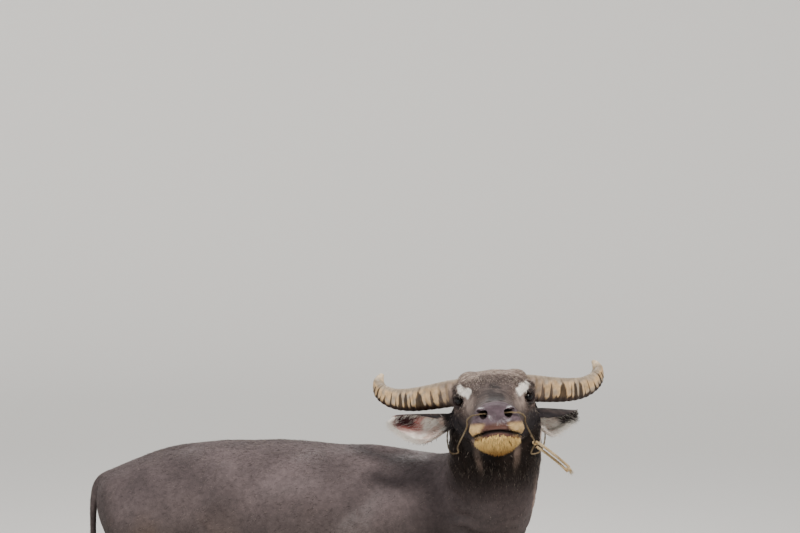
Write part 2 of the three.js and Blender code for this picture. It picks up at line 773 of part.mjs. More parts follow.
const hide = finish(0x6d625e, 0.8);
const hoof = finish(0x35302d, 0.55);
const horn = finish(0x8d7f6c, 0.65);
const eyeGlass = finish(0x0d0d12, 0.12);
const ropeFibre = finish(0xc9a35f, 0.9);

// Build the body as one solid, then part it
const legNames = Object.keys(LEGS);
const limbs = Object.fromEntries(legNames.map((name) => [name, legLimb(name)]));
const headLoft = HEAD.solid(26, 2, 0, (p) => pushed(p, HEAD_BRUSHES));
const lids = Object.values(SIDES).map(lidsAndOpening);
const plainHead = joined([headLoft, ...lids.map((l) => l.rim)]);
const neckSolid = neck.solid(24, 2);
const trunkSolid = trunk.solid(26, 2);
const front = joined([neckSolid, placed(plainHead, headPlace), trunkSolid]);

const NECK_CUT = { normal: vec(0.894, 0, 0.447).normalize(), offset: 572 };
const HEAD_CUT = { normal: vec(0.966, 0, 0.259).normalize(), offset: -158 };
const headCutNormal = HEAD_CUT.normal.clone().transformDirection(headPlace);
const headCutOffset = HEAD_CUT.offset + headCutNormal.dot(HEAD_AT);
const trim = (solid, normal, offset) => solid.trimByPlane(normal.toArray(), offset);
const behind = (solid, normal, offset) => trim(solid, normal.clone().negate(), -offset);

let torso = joined([trunkSolid, neckSolid, ...legNames.map((n) => limbs[n].solid(12, 2))]);
torso = behind(torso, NECK_CUT.normal, NECK_CUT.offset - GAP / 2);
for (const name of legNames) torso = torso.subtract(belowLegCut(limbs[name].solid(12, 2, GAP), name, -GAP));
torso = torso.subtract(tail.solid(12, 2, GAP));

const rooted = trim(front, NECK_CUT.normal, NECK_CUT.offset + GAP / 2);
const neckWhole = behind(rooted, headCutNormal, headCutOffset - GAP / 2);
const headWhole = placed(trim(rooted, headCutNormal, headCutOffset + GAP / 2), headBack);

const noseRope = rope(ROPE_ROUTE, NOSE_ROPE, ROPE_SIDES, ROPE_STEPS);
const ropeClear = rope(ROPE_ROUTE, NOSE_ROPE + GAP, ROPE_SIDES, ROPE_STEPS);
const knotClear = knotSolid(GAP);
const endKnotClear = endKnotSolid(GAP);

let headSolid = headWhole;
for (const name of Object.keys(SIDES)) {
  const side = SIDES[name];
  headSolid = headSolid
    .subtract(lids[side > 0 ? 0 : 1].opening)
    .subtract(eyeSolid(side, GAP))
    .subtract(nostril(side))
    .subtract(hornSolid(side, GAP))
    .subtract(earSolid(name, GAP));
}
headSolid = joined([headSolid.subtract(mouthGroove()), ...chinBristles(headSolid)]);
headSolid = headSolid.subtract(ropeClear).subtract(knotClear);

const tailSolid = tail.solid(12, 2).trimByPlane([-1, 0, 0], TAIL_ROOT + GAP);

// The scene graph
const buffalo = new THREE.Group();
const body = new THREE.Group();
body.add(head);
buffalo.add(body);

function piece(group, name, solid, material) {
  const mesh = new THREE.Mesh(geometryOf(solid), material);
  mesh.name = name;
  group.add(mesh);
}

piece(body, "torso", torso, hide);
const collars = Object.entries(SIDES).flatMap(([name, side]) => [hornSolid(side, GAP), earSolid(name, GAP)]);
piece(body, "neck", neckWhole.subtract(placed(joined([ropeClear, ...collars]), headPlace)), hide);
piece(head, "head", headSolid, hide);
for (const [name, side] of Object.entries(SIDES)) {
  piece(head, `horn_${name}`, hornSolid(side), horn);
  piece(head, `eye_${name}`, eyeSolid(side), eyeGlass);
  const ear = joined([earSolid(name), ...earFringe(name)]);
  piece(head, `ear_${name}`, ear.subtract(ropeClear), hide);
}
for (const name of legNames) {
  const claws = [-1, 1].map((way) => dewClaw(name, way, GAP));
  const leg = belowLegCut(limbs[name].solid(12, 2), name, 0).trimByPlane([0, 0, 1], CORONET_HEIGHT);
  piece(body, `leg_${name}`, leg.subtract(claws[0]).subtract(claws[1]), hide);
  piece(body, `hoof_${name}`, hoofSolid(name), hoof);
  for (const [label, way] of [["inner", -1], ["outer", 1]])
    piece(body, `dewclaw_${label}_${name}`, dewClaw(name, way * LEGS[name].side), hoof);
}
piece(body, "tail", tailSolid.trimByPlane([0, 0, 1], SWITCH_TOP), hide);
piece(body, "tail_switch", tailSwitch(), hide);
piece(head, "nose_rope", noseRope.subtract(knotClear), ropeFibre);
piece(head, "rope_knot", knotSolid(), ropeFibre);
for (const [label, way] of [["upper", 1], ["lower", -1]]) {
  const end = rope(ropeEnd(way), END_ROPE, ROPE_SIDES, 12);
  piece(head, `rope_end_${label}`, end.subtract(knotClear).subtract(endKnotClear), ropeFibre);
}
piece(head, "rope_end_knot", endKnotSolid(), ropeFibre);

// The origin is on the ground under the middle of the animal's box
buffalo.updateMatrixWorld(true);
const box = new THREE.Box3().setFromObject(body, true);
body.position.set(-(box.min.x + box.max.x) / 2, -(box.min.y + box.max.y) / 2, -box.min.z);

export default buffalo;
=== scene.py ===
"""A life-size swamp buffalo that looks back over its right side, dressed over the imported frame.

Sizes are in metres. Two frames are used besides the row frame: the body's, whose origin is on the
ground under the withers, and the head's, whose origin lies midway between the eyes with x towards
the muzzle, y to the animal's left and z towards the forehead.
"""

from __future__ import annotations

import logging
import math
from contextlib import contextmanager
from dataclasses import dataclass, field
from enum import Enum
from typing import Iterator, Mapping, Sequence

import bpy
import numpy as np
from mathutils import Euler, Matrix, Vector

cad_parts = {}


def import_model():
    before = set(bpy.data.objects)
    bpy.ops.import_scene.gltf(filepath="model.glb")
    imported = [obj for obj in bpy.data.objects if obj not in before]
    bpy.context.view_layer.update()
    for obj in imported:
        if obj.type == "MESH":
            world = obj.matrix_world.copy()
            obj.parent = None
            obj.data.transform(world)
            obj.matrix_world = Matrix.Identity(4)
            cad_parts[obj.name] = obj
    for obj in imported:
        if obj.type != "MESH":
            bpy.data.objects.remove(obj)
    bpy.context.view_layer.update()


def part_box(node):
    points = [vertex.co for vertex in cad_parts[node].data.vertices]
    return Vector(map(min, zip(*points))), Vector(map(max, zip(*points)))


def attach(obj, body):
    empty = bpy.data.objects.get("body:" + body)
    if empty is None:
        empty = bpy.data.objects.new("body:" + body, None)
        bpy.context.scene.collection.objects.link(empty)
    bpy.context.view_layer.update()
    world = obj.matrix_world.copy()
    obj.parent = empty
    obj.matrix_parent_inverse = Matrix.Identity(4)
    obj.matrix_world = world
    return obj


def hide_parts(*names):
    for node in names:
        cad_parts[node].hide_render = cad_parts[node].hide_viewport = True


log = logging.getLogger("buffalo")

SKIN_UV = "OFBake"
TINT = "tint"
WET = "wet"

# The head's place: where its frame stands in the body's, and how it is turned
HEAD_IN_BODY = (0.320, -0.450, 1.465)
HEAD_TURN = -84.0
HEAD_ROLL = 3.9

# The eyes: how far each lies to the side, its size, its way of looking and its lids' opening
EYE_APART = 0.110
EYE_RADIUS = 0.0255
GAZE = (0.89, 0.45, 0.03)
LID_ACROSS = 0.0225
UPPER_LID, LOWER_LID = 0.0205, 0.0172

# The line where the lips meet: its height in front, and its fall out to the corner
LIPS_MEET = -0.062
LIPS_FALL = 0.032
MOUTH_HALF = 0.085

LEGS = ("fore_left", "fore_right", "hind_left", "hind_right")
MERGE_DISTANCE = 0.00002
DARKEST = 0.004

Vec = Sequence[float]
Inputs = Mapping[str | int, object]


class Side(Enum):
    """The animal's own sides, as the sign of y in its frames."""

    LEFT = 1
    RIGHT = -1

    @property
    def label(self) -> str:
        """The side's word in node names."""
        return self.name.lower()


# Small tools


def smooth_read(values: Sequence[float], t: np.ndarray) -> np.ndarray:
    """Reads a list by a smooth curve.

    Args:
        values: The list, one value at each whole number from 0.
        t: Places to read at, from 0 to the last whole number.

    Returns:
        The values at those places.
    """
    v = np.asarray(values, float)
    last = len(v) - 1
    i = np.clip(np.floor(t).astype(int), 0, last - 1)
    f = t - i
    a, b, c, d = (v[np.clip(i + k, 0, last)] for k in (-1, 0, 1, 2))
    return b + 0.5 * f * (c - a + f * (2 * a - 5 * b + 4 * c - d + f * (3 * (b - c) + d - a)))


def step(low: float, high: float, x: np.ndarray) -> np.ndarray:
    """A soft step from 0 at low to 1 at high."""
    t = np.clip((x - low) / (high - low), 0, 1)
    return t * t * (3 - 2 * t)


def ripple(points: np.ndarray, scale: float, seed: int) -> np.ndarray:
    """Soft blotches with no grain of their own.

    Args:
        points: Places, one row each, in metres.
        scale: The size of a blotch.
        seed: Which set of blotches. Each use has a set of its own.

    Returns:
        A number from about -1 to 1 for each place.
    """
    waves, level = 9, 4.2
    rng = np.random.default_rng(seed)
    total = np.zeros(len(points))
    for _ in range(waves):
        way = rng.normal(size=3)
        way *= 2 * math.pi / (scale * rng.uniform(1.2, 3.2)) / np.linalg.norm(way)
        total += np.sin(points @ way + rng.uniform(0, 6.3) + 1.3 * np.sin(points @ way[::-1] * 0.7))
    return total / level


def unit(v: np.ndarray) -> np.ndarray:
    """Vectors made one long, row by row."""
    return v / np.maximum(np.linalg.norm(v, axis=-1, keepdims=True), 1e-12)


def axes_along(ahead: np.ndarray) -> np.ndarray:
    """Axes as columns: x ahead, and z as upright as it can be."""
    y = unit(np.cross([0, 0, 1], ahead))
    return np.stack([ahead, y, np.cross(ahead, y)], axis=1)


def gaze_of(side: Side) -> np.ndarray:
    """The way that an eye looks, in the head's frame."""
    return unit(np.array(GAZE) * [1, side.value, 1])


def lips_far(side: np.ndarray, w: np.ndarray) -> np.ndarray:
    """How far above the line of the lips places are, by their distance to the side and height."""
    return w - LIPS_MEET + LIPS_FALL * (side / MOUTH_HALF) ** 2


def bump_at(points: np.ndarray, at: Vec, reach: Vec) -> np.ndarray:
    """How near points are to a spot: 1 at it, 0 beyond its reach along each axis."""
    far = (((points - np.asarray(at)) / np.asarray(reach)) ** 2).sum(axis=1)
    return np.clip(1 - far, 0, None) ** 2


def path_far(points: np.ndarray, path: np.ndarray) -> tuple[np.ndarray, np.ndarray]:
    """Reads how points lie along a path of straight stretches.

    Args:
        points: Places, one row each.
        path: The path's corners, one row each.

    Returns:
        Each place's distance to the path, and the share of the path passed where it is nearest.
    """
    best = np.full(len(points), np.inf)
    share = np.zeros(len(points))
    for i, (a, b) in enumerate(zip(path[:-1], path[1:])):
        t = np.clip((points - a) @ (b - a) / ((b - a) @ (b - a)), 0, 1)
        far = np.linalg.norm(points - a - t[:, None] * (b - a), axis=1)
        closer = far < best
        best[closer] = far[closer]
        share[closer] = (i + t[closer]) / (len(path) - 1)
    return best, share


def plain(colour: Vec, points: np.ndarray) -> np.ndarray:
    """The same colour for every point."""
    return np.tile(np.asarray(colour, float), (len(points), 1))


def layered(under: np.ndarray, *layers: tuple[Vec, np.ndarray]) -> np.ndarray:
    """Lays colours over others, one after another.

    Args:
        under: The colours below, one row for each point.
        layers: Each a colour and its amount at each point, from 0 to 1.

    Returns:
        The mixed colours.
    """
    for colour, amount in layers:
        amount = np.clip(amount, 0, 1)[:, None]
        under = under * (1 - amount) + np.asarray(colour) * amount
    return under


def deselect_all() -> None:
    """Leaves object mode with nothing selected."""
    if bpy.context.object and bpy.context.object.mode != "OBJECT":
        bpy.ops.object.mode_set(mode="OBJECT")
    bpy.ops.object.select_all(action="DESELECT")


def pick(obj: bpy.types.Object) -> None:
    """Makes obj the only one selected, and the active one."""
    deselect_all()
    obj.select_set(True)
    bpy.context.view_layer.objects.active = obj


@contextmanager
def editing(obj: bpy.types.Object) -> Iterator[None]:
    """Opens edit mode with the whole mesh selected, and closes it afterwards."""
    pick(obj)
    bpy.ops.object.mode_set(mode="EDIT")
    bpy.ops.mesh.select_all(action="SELECT")
    yield
    bpy.ops.object.mode_set(mode="OBJECT")


def join(objects: Sequence[bpy.types.Object], name: str) -> bpy.types.Object:
    """Joins meshes into the first of them.

    Args:
        objects: The meshes.
        name: The joined mesh's name.

    Returns:
        The first of them, with all the others in it.
    """
    pick(objects[0])
    for obj in objects:
        obj.select_set(True)
    if len(objects) > 1:
        bpy.ops.object.join()
    objects[0].name = name
    return objects[0]


def unit_ball(segments: int = 40, rings: int = 24) -> bpy.types.Object:
    """A ball with a radius of one, at the origin.

    Args:
        segments: Faces round it.
        rings: Faces from pole to pole.

    Returns:
        The ball.
    """
    deselect_all()
    bpy.ops.mesh.primitive_uv_sphere_add(segments=segments, ring_count=rings, radius=1)
    return bpy.context.object


def apply_modifier(obj: bpy.types.Object, kind: str, **settings: object) -> None:
    """Adds a modifier, sets it and applies it.

    Args:
        obj: The mesh.
        kind: The modifier's type.
        **settings: Its settings by name.
    """
    pick(obj)
    modifier = obj.modifiers.new(kind.title(), kind)
    for name, value in settings.items():
        setattr(modifier, name, value)
    bpy.ops.object.modifier_apply(modifier=modifier.name)


def weld(obj: bpy.types.Object, other: bpy.types.Object, how: str) -> None:
    """Joins another closed mesh to obj or cuts it out, and removes it."""
    apply_modifier(obj, "BOOLEAN", object=other, operation=how, solver="MANIFOLD")
    bpy.data.objects.remove(other)


def points_of(obj: bpy.types.Object) -> np.ndarray:
    """The mesh's points, one row each."""
    flat = np.empty(len(obj.data.vertices) * 3, np.float32)
    obj.data.vertices.foreach_get("co", flat)
    return flat.reshape(-1, 3).astype(float)


def normals_of(obj: bpy.types.Object) -> np.ndarray:
    """The mesh's normals at its points."""
    flat = np.empty(len(obj.data.vertices) * 3, np.float32)
    obj.data.vertices.foreach_get("normal", flat)
    return flat.reshape(-1, 3).astype(float)


def put_points(obj: bpy.types.Object, points: np.ndarray) -> None:
    """Moves the mesh's points to new places."""
    obj.data.vertices.foreach_set("co", np.ascontiguousarray(points, np.float32).ravel())
    obj.data.update()


def edges_of(obj: bpy.types.Object) -> np.ndarray:
    """The mesh's edges as pairs of point numbers."""
    flat = np.empty(len(obj.data.edges) * 2, np.int32)
    obj.data.edges.foreach_get("vertices", flat)
    return flat.reshape(-1, 2)


def relax(obj: bpy.types.Object, weight: np.ndarray, rounds: int) -> None:
    """Smooths the mesh, each point by its own weight from 0 to 1.

    Args:
        obj: The mesh.
        weight: How far each point follows its neighbours.
        rounds: How often.
    """
    points, edges, count = points_of(obj), edges_of(obj), len(obj.data.vertices)
    a, b = edges[:, 0], edges[:, 1]
    near = np.maximum(np.bincount(edges.ravel(), minlength=count), 1)[:, None]
    pull = weight[:, None]
    for _ in range(rounds):
        total = np.stack(
            [np.bincount(a, points[b, k], count) + np.bincount(b, points[a, k], count) for k in range(3)],
            axis=1,
        )
        points += pull * (total / near - points)
    put_points(obj, points)


def mesh_object(name: str, points: np.ndarray, faces: np.ndarray) -> bpy.types.Object:
    """A new object from arrays.

    Args:
        name: The object's name.
        points: Places, one row each.
        faces: Point numbers, one row per face, all faces with as many corners.

    Returns:
        The object, linked to the scene.
    """
    mesh = bpy.data.meshes.new(name)
    corners = faces.shape[1]
    mesh.vertices.add(len(points))
    mesh.vertices.foreach_set("co", np.ascontiguousarray(points, np.float32).ravel())
    mesh.loops.add(faces.size)
    mesh.loops.foreach_set("vertex_index", np.ascontiguousarray(faces, np.int32).ravel())
    mesh.polygons.add(len(faces))
    mesh.polygons.foreach_set("loop_start", np.arange(0, faces.size, corners, dtype=np.int32))
    mesh.update(calc_edges=True)
    obj = bpy.data.objects.new(name, mesh)
    bpy.context.scene.collection.objects.link(obj)
    return obj


def paint(obj: bpy.types.Object, colours: np.ndarray) -> None:
    """Writes a colour for each point as an attribute.

    Args:
        obj: The mesh.
        colours: Linear colours, one row for each point.
    """
    layer = obj.data.attributes.new(TINT, "FLOAT_COLOR", "POINT")
    rgba = np.ones((len(colours), 4), np.float32)
    rgba[:, :3] = colours
    layer.data.foreach_set("color", rgba.ravel())


def paint_wetness(obj: bpy.types.Object, values: np.ndarray) -> None:
    """Writes how wet each point is as an attribute."""
    layer = obj.data.attributes.new(WET, "FLOAT", "POINT")
    layer.data.foreach_set("value", np.ascontiguousarray(values, np.float32))


def round_off(obj: bpy.types.Object, angle: float | None = None) -> None:
    """Shades the mesh smooth, or only across edges flatter than an angle in degrees.

    Args:
        obj: The mesh.
        angle: Edges sharper than this stay sharp; none do if left out.
    """
    pick(obj)
    if angle is None:
        bpy.ops.object.shade_smooth()
    else:
        bpy.ops.object.shade_smooth_by_angle(angle=math.radians(angle))


def rings_round(middle: np.ndarray, side: np.ndarray, other: np.ndarray, sides: int) -> np.ndarray:
    """Rings of points round a line.

    Args:
        middle: The line's points.
        side: From each of them to its ring, one way.
        other: The same, a quarter turn further.
        sides: Points in a ring.

    Returns:
        All rings, one after another.
    """
    turn = np.linspace(0, 2 * np.pi, sides, endpoint=False)[None, :, None]
    return (middle[:, None] + np.cos(turn) * side[:, None] + np.sin(turn) * other[:, None]).reshape(-1, 3)


def copy_of_nodes(nodes: Sequence[str], name: str) -> bpy.types.Object:
    """One merged mesh made from copies of CAD nodes.

    Args:
        nodes: The nodes' names.
        name: The new mesh's name.

    Returns:
        The mesh, with its doubles merged and no material.
    """
    copies = []
    for node in nodes:
        source = bpy.data.objects[node]
        copy = source.copy()
        copy.data = source.data.copy()
        copy.parent = None
        for key in [k for k in copy.keys() if k.startswith("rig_")]:
            del copy[key]
        bpy.context.scene.collection.objects.link(copy)
        copies.append(copy)
    joined = join(copies, name)
    joined.data.materials.clear()
    with editing(joined):
        bpy.ops.mesh.remove_doubles(threshold=MERGE_DISTANCE)
    return joined


def dress(obj: bpy.types.Object, material: bpy.types.Material) -> None:
    """Gives a piece its finish and its ride on the one body.

    Args:
        obj: The piece.
        material: Its finish.
    """
    obj.data.materials.clear()
    obj.data.materials.append(material)
    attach(obj, "root")


# Frames


@dataclass(frozen=True)
class LocalFrame:
    """A set of axes fixed to part of the animal."""

    origin: np.ndarray
    axes: np.ndarray

    def inside(self, points: np.ndarray) -> np.ndarray:
        """Row-frame points in this frame."""
        return (points - self.origin) @ self.axes

    def folded(self, points: np.ndarray) -> np.ndarray:
        """Row-frame points in this frame as three rows, with the right side laid on the left."""
        rows = self.inside(points).T
        rows[1] = np.abs(rows[1])
        return rows

    def way_in(self, ways: np.ndarray) -> np.ndarray:
        """Row-frame directions in this frame."""
        return ways @ self.axes

    def outside(self, points: np.ndarray) -> np.ndarray:
        """This frame's points in the row frame."""
        return np.asarray(points, float) @ self.axes.T + self.origin

    def way_out(self, ways: np.ndarray) -> np.ndarray:
        """This frame's directions in the row frame."""
        return np.asarray(ways, float) @ self.axes.T


def find_frames() -> tuple[LocalFrame, LocalFrame]:
    """The head's frame and the body's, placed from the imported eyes.

    Returns:
        The head's frame and the body's.
    """
    corners = [np.array(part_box(f"eye_{side.label}"), float) for side in Side]
    eyes = np.mean(corners, axis=(0, 1))
    turn = Euler((math.radians(HEAD_ROLL), 0, math.radians(HEAD_TURN)), "XYZ").to_matrix()
    head = LocalFrame(eyes, np.array(turn))
    body = LocalFrame(eyes - np.array(HEAD_IN_BODY), np.eye(3))
    return head, body


# Finishes


@dataclass(frozen=True)
class Palette:
    """The animal's colours, linear."""

    face: Vec = (0.098, 0.071, 0.063)
    # forehead: the grey of the hair on top of the head, partly painted sunlight; also used beside the bridge
    forehead: Vec = (0.290, 0.222, 0.190)
    cheek: Vec = (0.021, 0.017, 0.019)
    bridge: Vec = (0.024, 0.016, 0.015)
    white: Vec = (0.86, 0.81, 0.74)
    nose: Vec = (0.115, 0.082, 0.094)
    lip: Vec = (0.100, 0.046, 0.035)
    cream: Vec = (0.55, 0.37, 0.17)
    # chin: the skin under the bristles, partly its brown, partly painted shade in the gaps between them
    chin: Vec = (0.20, 0.095, 0.026)
    bristle: Vec = (0.92, 0.64, 0.25)
    # bristle_shade: darker orange for the low bristles, painted shade
    bristle_shade: Vec = (0.34, 0.150, 0.028)
    # throat: dark hair under the jaw, partly painted shade
    throat: Vec = (0.011, 0.006, 0.004)
    stripe: Vec = (0.42, 0.30, 0.24)
    back: Vec = (0.108, 0.082, 0.082)
    flank: Vec = (0.052, 0.039, 0.036)
    belly: Vec = (0.042, 0.031, 0.026)
    mud: Vec = (0.105, 0.060, 0.031)
    stocking: Vec = (0.165, 0.128, 0.103)
    pink: Vec = (0.40, 0.085, 0.07)
    inner_ear: Vec = (0.46, 0.27, 0.21)
    ear_dark: Vec = (0.032, 0.012, 0.016)
    hair_pale: Vec = (0.62, 0.52, 0.43)
    hair_dark: Vec = (0.035, 0.024, 0.02)


def set_inputs(tree: bpy.types.NodeTree, node: bpy.types.Node, inputs: Inputs) -> None:
    """Sets or links a shader node's inputs.

    Args:
        tree: The tree that holds the node.
        node: The node.
        inputs: By name or number, a value, or the output that feeds it.
    """
    for name, value in inputs.items():
        if isinstance(value, bpy.types.NodeSocket):
            tree.links.new(value, node.inputs[name])
        else:
            node.inputs[name].default_value = value


def add_node(tree: bpy.types.NodeTree, kind: str, inputs: Inputs, **settings: str) -> bpy.types.Node:
    """Adds a shader node, sets it and feeds its inputs.

    Args:
        tree: The tree.
        kind: The node's type, without its prefix.
        inputs: As in set_inputs.
        **settings: The node's own settings.

    Returns:
        The node.
    """
    node = tree.nodes.new(f"ShaderNode{kind}")
    for name, value in settings.items():
        setattr(node, name, value)
    set_inputs(tree, node, inputs)
    return node


@dataclass(frozen=True)
class Finish:
    """A surface: colour from the piece's own attribute, with gloss and fine relief."""

    name: str
    roughness: float
    wet_roughness: float = 0.25
    grain: float = 900.0
    relief: float = 0.25
    relief_height: float = 0.0006
    patchy: float = 0.12
    shine: float = 0.5

    def make(self) -> bpy.types.Material:
        """Builds the material."""
        material = bpy.data.materials.new(self.name)
        material.use_nodes = True
        tree = material.node_tree
        place = add_node(tree, "TexCoord", {}).outputs["Object"]
        noise = {"Vector": place, "Scale": self.grain / 12, "Detail": 6.0, "Roughness": 0.65}
        patches = add_node(tree, "TexNoise", noise).outputs["Fac"]
        span = {"From Min": 0.3, "From Max": 0.7, "To Min": 1 - self.patchy, "To Max": 1 + self.patchy}
        shade = add_node(tree, "MapRange", {"Value": patches, **span}).outputs["Result"]
        tint = add_node(tree, "Attribute", {}, attribute_name=TINT).outputs["Color"]
        mix = add_node(tree, "VectorMath", {0: tint, "Scale": shade}, operation="SCALE")
        wet = add_node(tree, "Attribute", {}, attribute_name=WET).outputs["Fac"]
        span = {"To Min": self.roughness, "To Max": self.wet_roughness}
        gloss = add_node(tree, "MapRange", {"Value": wet, **span})
        surface = {
            "Base Color": mix.outputs["Vector"],
            "Roughness": gloss.outputs["Result"],
            "Specular IOR Level": self.shine,
        }
        if self.relief > 0:
            surface["Normal"] = self._relief(tree, place)
        set_inputs(tree, tree.nodes["Principled BSDF"], surface)
        return material

    def _relief(self, tree: bpy.types.NodeTree, place: bpy.types.NodeSocket) -> bpy.types.NodeSocket:
        """Adds pebbled pores over soft creases as bump.

        Args:
            tree: The material's tree.
            place: The output that gives the place on the piece.

        Returns:
            The output that gives the bent normal.
        """
        pores = add_node(tree, "TexVoronoi", {"Vector": place, "Scale": self.grain / 4})
        noise = {"Vector": place, "Scale": self.grain / 16, "Detail": 8.0, "Roughness": 0.7}
        creases = add_node(tree, "TexNoise", noise)
        sums = {0: pores.outputs["Distance"], 1: 0.5, 2: creases.outputs["Fac"]}
        both = add_node(tree, "Math", sums, operation="MULTIPLY_ADD")
        height = {"Strength": self.relief, "Distance": self.relief_height, "Height": both.outputs["Value"]}
        return add_node(tree, "Bump", height).outputs["Normal"]


SKIN_FINISH = Finish("hide", 0.8, 0.24, grain=620, relief=0.7, relief_height=0.0018, patchy=0.25, shine=0.2)
HAIR_FINISH = Finish("hair", 0.7, grain=1400, relief=0.0, shine=0.14)
HORN_FINISH = Finish("horn", 0.5, 0.3, grain=1200, relief=0.4, relief_height=0.0008, patchy=0.2, shine=0.28)
HOOF_FINISH = Finish("hoof", 0.5, grain=1400, relief=0.4, relief_height=0.0007, patchy=0.18)
EYE_FINISH = Finish("eye", 0.03, 0.03, relief=0.0, patchy=0.0, shine=0.22)
ROPE_FINISH = Finish("rope", 0.85, grain=4200, relief=0.8, relief_height=0.0009, patchy=0.25)


# Markings, painted light and shade among them, read by skin and coat alike


@dataclass
class Markings:
    """Where each colour of the hide lies, with painted sunlight on top of the head and painted shade at the
    throat and chin.
    """

    head: LocalFrame
    body: LocalFrame
    palette: Palette = field(default_factory=Palette)

    def colours(self, points: np.ndarray) -> np.ndarray:
        """The hide's colour at each point.

        Args:
            points: Places on the hide, one row each.

        Returns:
            Linear colours, one row each.
        """
        at_head = self.head.inside(points)
        on_head = step(-0.30, -0.17, at_head[:, 0]) * step(-0.50, -0.24, at_head[:, 2])
        body = self._body(self.body.inside(points), points)
        face = self._face(self.head.folded(points), points)
        return np.clip(layered(body, (face, on_head)), DARKEST, 1)

    def _body(self, at: np.ndarray, points: np.ndarray) -> np.ndarray:
        """Trunk, neck, legs and tail.

        Args:
            at: Places in the body's frame.
            points: The same in the row frame.

        Returns:
            Linear colours, one row each.
        """
        p = self.palette
        z = at[:, 2] + 0.03 * ripple(points, 0.16, 3)
        splash = ripple(points, 0.14, 5) + 0.7 * ripple(points, 0.045, 6)
        chevron = np.abs(at[:, 2] - 0.93 - 1.1 * np.abs(at[:, 1] + 0.04) * (at[:, 0] > 0.1))
        out = layered(
            plain(p.flank, at),
            (p.back, step(0.86, 1.16, z)),
            (p.belly, step(0.78, 0.58, z) * step(0.45, 0.60, z)),
            (p.stocking, step(0.46, 0.36, z) * step(0.05, 0.16, z)),
            (p.mud, 0.30 * step(0.2, 1.3, splash) * step(1.10, 0.75, z)),
            (p.mud, 0.45 * step(0.34, 0.05, z + 0.04 * splash)),
            (p.stripe, 0.5 * step(0.034, 0.006, chevron + 0.010 * splash) * step(0.22, 0.30, at[:, 0])),
        )
        return out * (1 + 0.22 * ripple(points, 0.11, 8))[:, None]

    def _face(self, folded: np.ndarray, points: np.ndarray) -> np.ndarray:
        """Head and throat, with painted sunlight on top of the head and painted shade at the throat and on
        the chin.

        Args:
            folded: Places in the head's frame as three rows, folded to one side.
            points: The same in the row frame.

        Returns:
            Linear colours, one row each.
        """
        p = self.palette
        u, side, w = folded
        rough = 0.006 * ripple(points, 0.022, 11)
        down = step(-0.045, -0.095, w + 0.35 * u - 0.4 * (side - 0.1) + rough)
        temple = step(0.088, 0.125, side + rough) * step(0.12, 0.0, u) * step(-0.030, -0.055, w)
        beside = bump_at(folded.T, (0.09, 0.088, 0.000), (0.15, 0.040, 0.048))
        across = side + 0.05 * np.abs(u - 0.12) + 0.7 * np.clip(w - 0.020, 0, 1) + 2 * rough
        bridge = step(0.050, 0.030, across) * step(-0.050, -0.030, u) * step(0.285, 0.26, u)
        bridge *= step(-0.025, 0.005, w) * step(0.068, 0.040, w + 2 * rough)
        muzzle = step(0.275, 0.30, u + 0.5 * w * (w > 0) + 0.3 * (0.03 - side) + rough)
        lips = step(0.232, 0.262, u) * step(-0.030, -0.048, w)
        pads = step(0.034, 0.056, side + 0.3 * (w + 0.05) + rough) * step(0.225, 0.262, u)
        stripe = step(0.016, 0.006, np.abs(side - 0.072 - 0.10 * (w + 0.17))) * step(-0.13, -0.15, w)
        out = layered(
            plain(p.face, points),
            # paler top of the head: partly its grey hair, partly painted sunlight
            (p.forehead, step(0.03, 0.075, w) * step(0.03, -0.05, u)),
            (p.cheek, 0.9 * down * step(0.29, 0.2, u)),
            (p.cheek, 0.75 * temple),
            (p.forehead, 1.1 * beside * (1 + 0.6 * ripple(points, 0.018, 14))),
            (p.bridge, 0.92 * bridge),
            (p.white, self._eye_patch(u, side, w, rough)),
            (p.nose, muzzle * step(-0.052, -0.040, w + 0.25 * (side - 0.04))),
            (p.lip, 0.9 * lips * step(-0.112, -0.098, w)),
            (p.cream, 0.95 * pads * step(-0.030, -0.047, w + 0.15 * (0.34 - u))),
            # painted shade on the chin, seen between the bristles
            (p.chin, step(0.20, 0.245, u) * step(-0.082, -0.092, w + 0.10 * (0.32 - u))),
            # under the jaw: partly dark hair, partly painted shade
            (p.throat, step(-0.125, -0.165, w + 0.25 * u) * step(0.24, 0.18, u)),
            (p.stripe, 0.8 * stripe * step(0.19, 0.13, u) * step(-0.08, -0.02, u)),
        )
        return out * (1 + 0.16 * ripple(points, 0.03, 12))[:, None]

    @staticmethod
    def _eye_patch(u: np.ndarray, side: np.ndarray, w: np.ndarray, rough: np.ndarray) -> np.ndarray:
        """The white patch that runs from above each eye down its inner corner.

        Args:
            u: Places towards the muzzle.
            side: Away from the middle.
            w: Towards the forehead.
            rough: Unevenness of the patch's edge.

        Returns:
            How white each place is, from 0 to 1.
        """
        path = np.array([(0.107, 0.035), (0.087, 0.030), (0.074, 0.014), (0.070, -0.005)])
        far, _ = path_far(np.stack([side, w], axis=1), path)
        return step(0.0180, 0.0095, far + 1.4 * rough) * step(-0.05, -0.02, u) * step(0.088, 0.066, u + rough)

    def wetness(self, points: np.ndarray) -> np.ndarray:
        """How wet each point is, from 0 to 1."""
        u, _, w = self.head.inside(points).T
        pad = step(0.298, 0.312, u) * step(-0.060, -0.045, w)
        z = self.body.inside(points)[:, 2]
        soaked = 0.55 * step(0.2, 0.9, ripple(points, 0.2, 21)) * step(0.4, 0.7, z) * (u < 0.02)
        return np.clip(0.85 * pad + 0.3 * step(0.2, 0.26, u) + soaked, 0, 1)


# The skin


